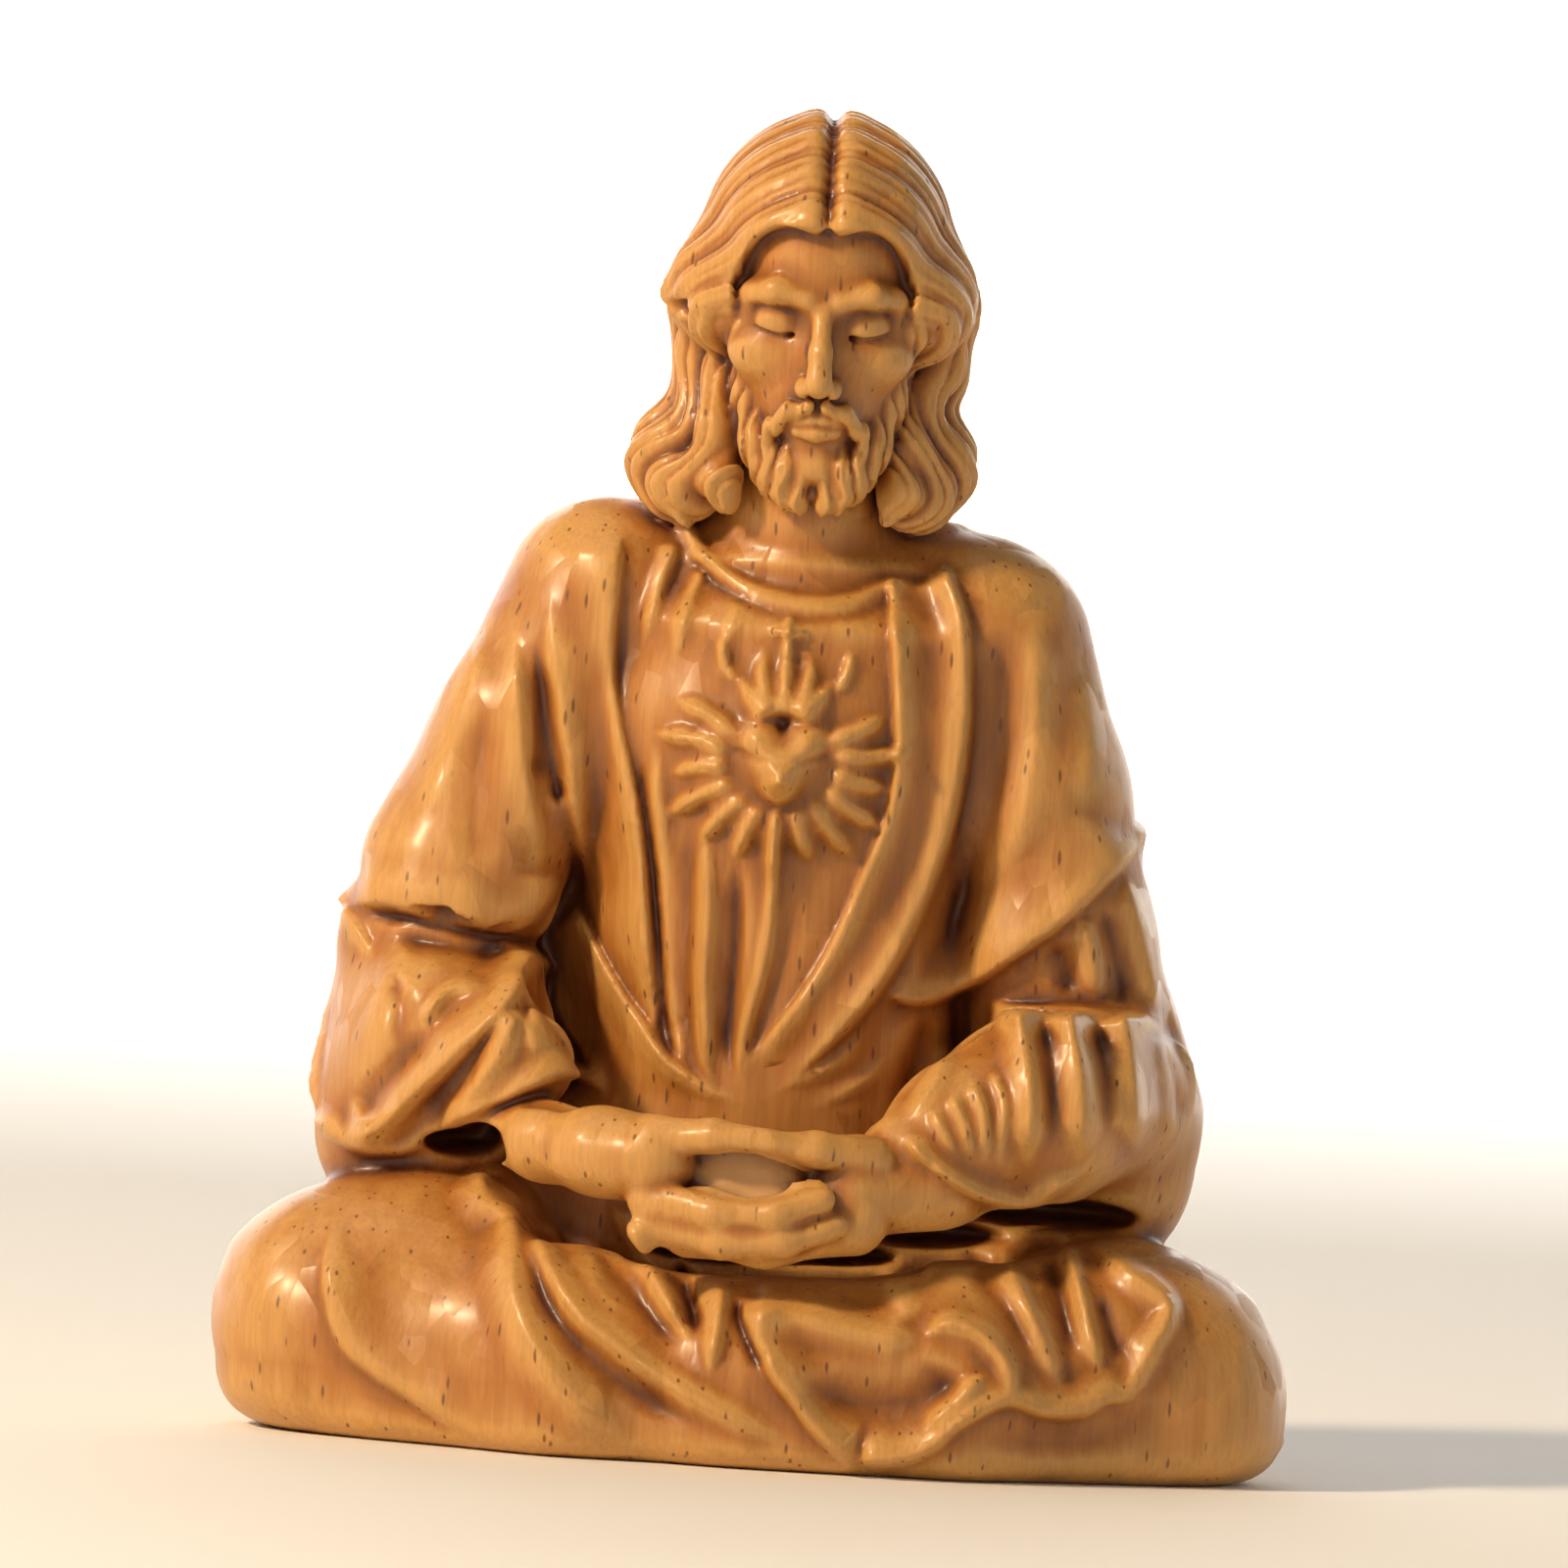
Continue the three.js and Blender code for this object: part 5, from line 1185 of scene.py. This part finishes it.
    def mesh(self) -> tuple[Array, Array, Array, Array]:
        """Meshes the zero surface: a vertex in each cell that it crosses, and a quad across each grid edge.

        Returns:
            The vertices in millimetres, the quads, each vertex's cell and its place in that cell.
        """
        nx, ny, nz = self.counts
        grid = self.values.reshape(nz, ny, nx)
        inside = grid < 0
        count = np.zeros((nz - 1, ny - 1, nx - 1), dtype=np.uint8)
        for c in range(8):
            a, b, e = c & 1, (c >> 1) & 1, c >> 2
            count += inside[e:nz - 1 + e, b:ny - 1 + b, a:nx - 1 + a]
        k, j, i = np.nonzero((count > 0) & (count < 8))
        cells = (k * ny + j) * nx + i
        corners = [sum(s for bit, s in enumerate(self.strides) if c >> bit & 1) for c in range(8)]
        at = self.values[cells[:, None] + np.array(corners)]
        total = np.zeros((len(cells), 3), dtype=np.float32)
        crossings = np.zeros(len(cells), dtype=np.float32)
        for c in range(8):
            for bit in range(3):
                if c >> bit & 1:
                    continue
                d = c | 1 << bit
                cross = (at[:, c] < 0) != (at[:, d] < 0)
                t = np.where(cross, at[:, c] / np.where(cross, at[:, c] - at[:, d], 1), 0)
                for axis in range(3):
                    place = t if axis == bit else np.float32(c >> axis & 1)
                    total[:, axis] += np.where(cross, place, 0)
                crossings += cross
        total /= crossings[:, None]
        vertices = np.stack(self.place(i + total[:, 0], j + total[:, 1], k + total[:, 2]), axis=1)
        quads = []
        for axis in range(3):
            step, u, v = (self.strides[(axis + n) % 3] for n in range(3))
            n = np.flatnonzero(inside.ravel()[:-step] != inside.ravel()[step:])
            ring = np.stack([np.searchsorted(cells, n - off) for off in (0, u, u + v, v)], axis=1)
            outer = ~inside.ravel()[n]
            ring[outer] = ring[outer][:, ::-1]
            quads.append(ring)
        return vertices, np.concatenate(quads), cells, total


@dataclass
class Statue:
    """The whole figure, one piece of wood.

    Attributes:
        cell: Spacing of the samples in millimetres.
        faces: Most triangles the piece may have.
        hands_top: The hands lie below this height.
        hair_tips: The head and the hair stand above this height.
        unvarnished: Centre of the bare wood between the hands.
        patch: Its half sizes.
        offset: From the figure's own place to its solid's, in metres. It is found when the piece is built.
    """

    cell: float = 0.42
    faces: int = 190000
    hands_top: float = 47
    hair_tips: float = 92
    unvarnished: Point = (-2.3, -30.2, 32.8)
    patch: Point = (5.6, 4.6, 2.5)
    offset: Vector = field(default_factory=lambda: Vector((0, 0, 0)))

    HALF_WIDTH, HALF_DEPTH = 64, 44  # reach of the relief maps
    TO_FRONT = (0.0, 0.35)  # how far a surface faces a side where its strokes begin and where they are full
    TO_BACK = (0.1, 0.45)
    TO_SIDE = (0.2, 0.6)
    CAVITIES = (1.3, 3.2)  # half sizes of the boxes that tell grooves and hollows from crests

    def bare(self) -> Form:
        """The figure without the strokes."""
        body = blend(4, Legs().form(), Trunk().form())
        right, left, hands = Arms().right(), Arms().left(), Hands().form()
        head, hair = Head().form(), Hair()
        cap, falls = hair.cap(), hair.falls()

        def distance(x: Array, y: Array, z: Array) -> Array:
            """The distance at many points."""
            d = soft_min(body(x, y, z), soft_min(right(x, y, z), left(x, y, z), 1), 2)
            if z.min() < self.hands_top:
                d = soft_min(d, hands(x, y, z), 1)
            if z.max() > self.hair_tips:
                p = head_frame(x, y, z)
                locks = soft_min(cap(*p), falls(x, y, z), 1.5)
                relief = np.where(np.abs(locks) < 5, hair.relief(x, y, z), 0)
                d = soft_min(soft_min(d, head(*p), 1), locks - relief, 0.8)
            return d

        return distance

    def carve(self) -> tuple[Array, Array, Array]:
        """Carves the block.

        Returns:
            The vertices in millimetres, the quads, and how deep in a recess each vertex lies, from 0 to 1;
            the finish paints shade into recesses by it.
        """
        block = Block(self.cell)
        cuts = DeepCuts().form()
        block.fill(self.bare(), cuts)
        carvings = (TunicCarving(), Emblem(), RightSleeveCarving(), LeftSleeveCarving(), SkirtCarving())
        front = ReliefMap([one for carving in carvings for one in carving.strokes()], self.HALF_WIDTH)
        back = ReliefMap(BackCarving().strokes(), self.HALF_WIDTH)
        right = ReliefMap(FlankCarving().right(), self.HALF_DEPTH)
        left = ReliefMap(FlankCarving().left(), self.HALF_DEPTH)
        up, along = math.cos(VIEW_TILT), math.sin(VIEW_TILT)

        def carved(x: Array, y: Array, z: Array, d: Array, nx: Array, ny: Array) -> Array:
            """The distance after the strokes and the cuts."""
            # each side's strokes die away where the surface turns from it
            to_front, to_back = ramp(-ny, *self.TO_FRONT), ramp(ny, *self.TO_BACK)
            to_side = (1 - to_front - to_back) * ramp(np.abs(nx), *self.TO_SIDE)
            relief = to_front * front.at(x, z * up + y * along) + to_back * back.at(x, z)
            relief = relief + to_side * np.where(nx < 0, right.at(y, z), left.at(y, z))
            d = soft_cut(d - relief, cuts(x, y, z), 0.8)
            # the edge of the sawn sole is eased, more so under the knees
            return -soft_min(-d, z - SOLE, 3.4 + 3 * ramp(np.abs(x), 40, 56))

        nx, ny, _ = block.gradient()
        block.change(carved, nx, ny)
        vertices, quads, *spot = block.mesh()
        # how enclosed each vertex is: the finish darkens recesses by it, as painted shade
        share = sum(block.openness(radius, *spot) - 0.5 for radius in self.CAVITIES)
        return vertices, quads, np.clip(0.5 + 1.3 * share, 0, 1)

    def build(self) -> bpy.types.Object:
        """Builds the piece in metres, on the place of its solid.

        Returns:
            The piece.
        """
        vertices, quads, recess = self.carve()
        low, high = (np.array(v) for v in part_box("statue"))
        shift = (low + high) / 2 / MM - (vertices.min(0) + vertices.max(0)) / 2
        shift[2] = low[2] / MM - vertices[:, 2].min()
        self.offset = Vector(shift * MM)
        mesh = bpy.data.meshes.new("statue_wood")
        points = ((vertices + shift) * MM).astype(np.float32)
        mesh.vertices.add(len(points))
        mesh.vertices.foreach_set("co", points.ravel())
        mesh.loops.add(quads.size)
        mesh.loops.foreach_set("vertex_index", quads.astype(np.int32).ravel())
        mesh.polygons.add(len(quads))
        mesh.polygons.foreach_set("loop_start", np.arange(0, quads.size, 4, dtype=np.int32))
        mesh.polygons.foreach_set("use_smooth", np.ones(len(quads), dtype=bool))
        mesh.update(calc_edges=True)
        bare = ramp(1.2 - np.linalg.norm((vertices - self.unvarnished) / self.patch, axis=1), 0, 0.35)
        # recess carries the painted shade of recesses for the finish; bare_wood marks the unvarnished wood
        for name, values in (("recess", recess), ("bare_wood", bare)):
            mesh.attributes.new(name, "FLOAT", "POINT").data.foreach_set("value", values.astype(np.float32))
        piece = bpy.data.objects.new("carved_statue", mesh)
        bpy.context.collection.objects.link(piece)
        self.thin(piece)
        return piece

    def thin(self, piece: bpy.types.Object) -> None:
        """Thins the mesh out to the number of triangles it may have.

        Args:
            piece: The piece with the dense mesh.
        """
        triangles = 2 * len(piece.data.polygons)
        if triangles <= self.faces:
            return
        modifier = piece.modifiers.new("thin", "DECIMATE")
        modifier.ratio = self.faces / triangles
        modifier.use_collapse_triangulate = True
        dense = piece.data
        graph = bpy.context.evaluated_depsgraph_get()
        piece.data = bpy.data.meshes.new_from_object(piece.evaluated_get(graph))
        piece.data.name = "statue_wood"
        piece.modifiers.clear()
        bpy.data.meshes.remove(dense)
        LOG.info("statue: %d triangles", len(piece.data.polygons))


# Finishes


def hex_to_linear(code: str) -> tuple[float, float, float, float]:
    """Turns an sRGB hex colour into a linear one with full alpha."""
    channels = (int(code.lstrip("#")[i:i + 2], 16) / 255 for i in (0, 2, 4))
    return (*(c / 12.92 if c <= 0.04045 else ((c + 0.055) / 1.055) ** 2.4 for c in channels), 1.0)


def add_node(tree: bpy.types.NodeTree, kind: str, inputs: dict | None = None,
             **settings: object) -> bpy.types.Node:
    """Adds a node with its settings and links.

    Args:
        tree: The material's node tree.
        kind: The node's type name.
        inputs: Values or sockets by input name or number.
        **settings: Attributes of the node.

    Returns:
        The node.
    """
    node = tree.nodes.new(kind)
    for name, value in settings.items():
        setattr(node, name, value)
    for key, value in (inputs or {}).items():
        if isinstance(value, bpy.types.NodeSocket):
            tree.links.new(value, node.inputs[key])
        else:
            node.inputs[key].default_value = value
    return node


@dataclass(frozen=True)
class VarnishedBeech:
    """Steamed beech, cut by knife and rubbed down, under a honey-coloured varnish.

    Attributes:
        pale: Where the varnish is thin, on crests.
        honey: The wood's usual colour.
        deep: The colour of recesses: painted shade there, along with varnish gathered in them.
        fleck: The rays of beech, cut across.
        raw: Bare wood in the hollow between the hands, where no varnish was laid.
        fleck_length: Length of a ray fleck in millimetres.
        fleck_spacing: Distance from one fleck to the next across the grain.
        facet_width: Width of one knife cut in millimetres.
        facet_turn: How far one cut turns from the next, as a slope.
        roughness: Of the wood under the varnish.
        coat: How much varnish there is.
        coat_roughness: Of the varnish, rubbed down to half a gloss.
        ior: Refraction of the wood's resins and of the varnish.
    """

    pale: str = "#D09A52"
    honey: str = "#B3722E"
    deep: str = "#57280D"
    fleck: str = "#5A2A10"
    raw: str = "#DCAE74"
    fleck_length: float = 2.4
    fleck_spacing: float = 1.3
    facet_width: float = 3.2
    facet_turn: float = 0.22
    roughness: float = 0.5
    coat: float = 0.3
    coat_roughness: float = 0.24
    ior: float = 1.5

    def material(self) -> bpy.types.Material:
        """Builds the material.

        Returns:
            The material.
        """
        material = bpy.data.materials.new("varnished_beech")
        material.use_nodes = True
        tree = material.node_tree
        tree.nodes.clear()
        place = add_node(tree, "ShaderNodeTexCoord").outputs["Object"]
        mm = add_node(tree, "ShaderNodeMapping", {"Vector": place, "Scale": (1 / MM,) * 3}).outputs[0]
        # the grain runs up the figure: a year's growth is 2 to 3 mm wide, a bundle of fibres about 0.5 mm
        noises = []
        for scale, detail, roughness in (((0.4, 0.4, 0.025), 6.0, 0.62), ((2.2, 2.2, 0.07), 3.0, 0.6)):
            along = add_node(tree, "ShaderNodeMapping", {"Vector": mm, "Scale": scale}).outputs[0]
            inputs = {"Vector": along, "Scale": 1.0, "Detail": detail, "Roughness": roughness}
            noises.append(add_node(tree, "ShaderNodeTexNoise", inputs).outputs["Fac"])
        grain, fibre = noises
        # the carving leaves on the mesh how deep in a recess it lies, and where the wood is bare
        recess, bare = (add_node(tree, "ShaderNodeAttribute", attribute_name=name).outputs["Fac"]
                        for name in ("recess", "bare_wood"))
        # crests pale, where the varnish is thin; recesses deep, which is painted shade along with gathered
        # varnish; the grain moves the tone
        inputs = {0: grain, 1: 0.32, 2: -0.16}
        tone = add_node(tree, "ShaderNodeMath", inputs, operation="MULTIPLY_ADD").outputs[0]
        depth = add_node(tree, "ShaderNodeMath", {0: recess, 1: tone}, operation="ADD").outputs[0]
        colours = add_node(tree, "ShaderNodeValToRGB", {"Fac": depth})
        points = colours.color_ramp.elements
        points[0].position, points[0].color = 0.34, hex_to_linear(self.pale)
        # painted shade: the deepest recesses take the dark colour
        points[1].position, points[1].color = 0.95, hex_to_linear(self.deep)
        points.new(0.55).color = hex_to_linear(self.honey)
        inputs = {"Value": fibre, "From Min": 0.42, "From Max": 0.7, "To Min": 1.0, "To Max": 0.86}
        shade = add_node(tree, "ShaderNodeMapRange", inputs).outputs[0]
        inputs = {0: 1.0, 6: colours.outputs[0], 7: shade}
        wood = add_node(tree, "ShaderNodeMix", inputs, data_type="RGBA", blend_type="MULTIPLY").outputs[2]
        # ray flecks: short dark dashes up the grain, about every third left out
        across = 1 / self.fleck_spacing
        scale, tilt = (across, across, 0.42 / self.fleck_length), (0.0, math.radians(9), 0.0)
        inputs = {"Vector": mm, "Scale": scale, "Rotation": tilt}
        cells = add_node(tree, "ShaderNodeMapping", inputs).outputs[0]
        dash = add_node(tree, "ShaderNodeTexVoronoi", {"Vector": cells, "Scale": 1.0, "Randomness": 1.0})
        away = dash.outputs["Distance"]
        inputs = {"Value": away, "From Min": 0.1, "From Max": 0.19, "To Min": 1.0, "To Max": 0.0}
        near = add_node(tree, "ShaderNodeMapRange", inputs).outputs[0]
        chance = add_node(tree, "ShaderNodeSeparateColor", {"Color": dash.outputs["Color"]}).outputs[0]
        left = add_node(tree, "ShaderNodeMath", {0: chance, 1: 0.35}, operation="GREATER_THAN").outputs[0]
        mask = add_node(tree, "ShaderNodeMath", {0: near, 1: left}, operation="MULTIPLY").outputs[0]
        mask = add_node(tree, "ShaderNodeMath", {0: mask, 1: 0.75}, operation="MULTIPLY").outputs[0]
        for share, colour in ((mask, self.fleck), (bare, self.raw)):
            inputs = {0: share, 6: wood, 7: hex_to_linear(colour)}
            wood = add_node(tree, "ShaderNodeMix", inputs, data_type="RGBA").outputs[2]
        # each knife cut leaves its own small plane, longer up the grain than across it
        across, turn = 1 / self.facet_width, self.facet_turn
        inputs = {"Vector": mm, "Scale": (across, across, 0.5 * across), "Rotation": (0.2, 0.35, 0.0)}
        cuts = add_node(tree, "ShaderNodeMapping", inputs).outputs[0]
        cut = add_node(tree, "ShaderNodeTexVoronoi", {"Vector": cuts, "Scale": 1.0}).outputs["Color"]
        inputs = {0: cut, 1: (turn,) * 3, 2: (-0.5 * turn,) * 3}
        slope = add_node(tree, "ShaderNodeVectorMath", inputs, operation="MULTIPLY_ADD").outputs[0]
        smooth = add_node(tree, "ShaderNodeNewGeometry").outputs["Normal"]
        plane = add_node(tree, "ShaderNodeVectorMath", {0: smooth, 1: slope}, operation="ADD").outputs[0]
        plane = add_node(tree, "ShaderNodeVectorMath", {0: plane}, operation="NORMALIZE").outputs[0]
        # the open fibres stand a tenth of a millimetre deep
        inputs = {"Height": fibre, "Strength": 0.35, "Distance": 0.1 * MM, "Normal": plane}
        bump = add_node(tree, "ShaderNodeBump", inputs).outputs[0]
        # the bare wood has no varnish
        inputs = {0: bare, 1: -self.coat, 2: self.coat}
        varnish = add_node(tree, "ShaderNodeMath", inputs, operation="MULTIPLY_ADD").outputs[0]
        shader = add_node(tree, "ShaderNodeBsdfPrincipled", {
            "Base Color": wood, "Roughness": self.roughness, "IOR": self.ior, "Normal": bump,
            "Coat Weight": varnish, "Coat Roughness": self.coat_roughness, "Coat IOR": self.ior,
            "Coat Normal": plane})
        add_node(tree, "ShaderNodeOutputMaterial", {"Surface": shader.outputs[0]})
        return material


# The studio


@dataclass
class Studio:
    """A pale seamless bowl, soft lights and the camera.

    Attributes:
        target: What the camera looks at, in millimetres.
        distance: How far away it stands, in metres.
        frame_width: Width of the view at the figure, in millimetres.
        lean: How far the photograph leans, in degrees.
        paper: Colour of the backdrop.
        floor: Half the width of the level floor, in metres.
        bend: Radius of the curve from the floor to the wall.
        wall: Height of the wall.
        turns: How many strips of paper make the bowl.
    """

    target: Point = (-0.8, 0.0, 73.2)
    distance: float = 3.0
    frame_width: float = 169.0
    lean: float = 3.5
    paper: str = "#F4F2EE"
    floor: float = 3.2
    bend: float = 0.9
    wall: float = 2.4
    turns: int = 96

    def bowl(self) -> bpy.types.Object:
        """The floor, curving up all round into a wall.

        Returns:
            The bowl.
        """
        edge, bend, turns = self.floor, self.bend, self.turns
        climb = np.linspace(0.15, math.pi / 2, 10)
        curve = [(edge + bend * math.sin(a), bend - bend * math.cos(a)) for a in climb]
        profile = [(0.0, 0.0), (edge, 0.0), *curve, (edge + bend, self.wall)]
        angles = np.linspace(0, 2 * math.pi, turns, endpoint=False)
        verts = [(r * math.cos(t), r * math.sin(t), z) for r, z in profile for t in angles]
        rings = range(0, (len(profile) - 1) * turns, turns)
        pairs = [(ring + i, ring + (i + 1) % turns) for ring in rings for i in range(turns)]
        faces = [(a, b, b + turns, a + turns) for a, b in pairs]
        mesh = bpy.data.meshes.new("paper_bowl")
        mesh.from_pydata(verts, [], faces)
        mesh.polygons.foreach_set("use_smooth", [True] * len(mesh.polygons))
        bowl = bpy.data.objects.new("paper_bowl", mesh)
        bpy.context.collection.objects.link(bowl)
        paper = bpy.data.materials.new("backdrop_paper")
        paper.use_nodes = True
        shader = paper.node_tree.nodes["Principled BSDF"]
        shader.inputs["Base Color"].default_value = hex_to_linear(self.paper)
        shader.inputs["Roughness"].default_value = 0.9
        mesh.materials.append(paper)
        return bowl

    def light(self, name: str, place: Point, size: float, watts: float, colour: str,
              aim: Point = (0, 0, 0.08)) -> None:
        """Adds a soft square light.

        Args:
            name: Its name.
            place: Where it hangs, in metres.
            size: Length of its side in metres.
            watts: Its power.
            colour: Its colour.
            aim: What it looks at: the figure, or the paper behind it.
        """
        data = bpy.data.lights.new(name, "AREA")
        data.size, data.energy = size, watts
        data.color = hex_to_linear(colour)[:3]
        lamp = bpy.data.objects.new(name, data)
        lamp.location = place
        lamp.rotation_euler = (Vector(aim) - Vector(place)).to_track_quat("-Z", "Y").to_euler()
        bpy.context.collection.objects.link(lamp)

    def lights(self) -> None:
        """A warm key from the viewer's left, a weak fill in front, one light above and one on the paper."""
        self.light("key", (-0.8, -0.56, 0.74), 0.14, 13.0, "#FFE2BA")
        self.light("fill", (-0.2, -1.4, 0.5), 0.8, 0.8, "#FFE4C4")
        self.light("top", (-0.3, 0.1, 1.4), 0.8, 2.2, "#FFF4E6")
        self.light("paper", (0, 1.6, 2.2), 2.2, 270.0, "#FFFFFF", (0, 4.1, 0.8))
        world = bpy.data.worlds.new("studio_air")
        world.use_nodes = True
        background = world.node_tree.nodes["Background"]
        background.inputs["Color"].default_value = (1, 1, 1, 1)
        background.inputs["Strength"].default_value = 0.1
        bpy.context.scene.world = world

    def camera(self, offset: Vector) -> None:
        """Stands the camera where the photograph was taken.

        Args:
            offset: From the figure's own place to its solid's, in metres.
        """
        data = bpy.data.cameras.new("camera")
        data.sensor_width = 36
        data.lens = 36 * self.distance / (self.frame_width * MM)
        camera = bpy.data.objects.new("camera", data)
        lean = math.radians(self.lean)
        right = Vector((1, 0, 0))
        rise = Vector((0, math.sin(VIEW_TILT), math.cos(VIEW_TILT)))
        back = right.cross(rise)
        up = rise * math.cos(lean) - right * math.sin(lean)
        side = up.cross(back)
        centre = Vector(self.target) * MM + offset
        camera.matrix_world = Matrix((side, up, back)).transposed().to_4x4()
        camera.location = centre + back * self.distance
        bpy.context.collection.objects.link(camera)
        bpy.context.scene.camera = camera

    def build(self, offset: Vector) -> None:
        """Builds the studio round the figure.

        Args:
            offset: From the figure's own place to its solid's, in metres.
        """
        self.bowl()
        self.lights()
        self.camera(offset)
        bpy.context.scene.view_settings.view_transform = "Standard"


def main() -> None:
    """Builds the figure and the studio."""
    logging.basicConfig(level=logging.INFO, format="%(name)s: %(message)s")
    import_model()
    statue = Statue()
    piece = statue.build()
    piece.data.materials.append(VarnishedBeech().material())
    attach(piece, "root")
    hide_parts("statue")
    LOG.info("figure: %s", piece.name)
    Studio().build(statue.offset)


if __name__ == "__main__":
    main()
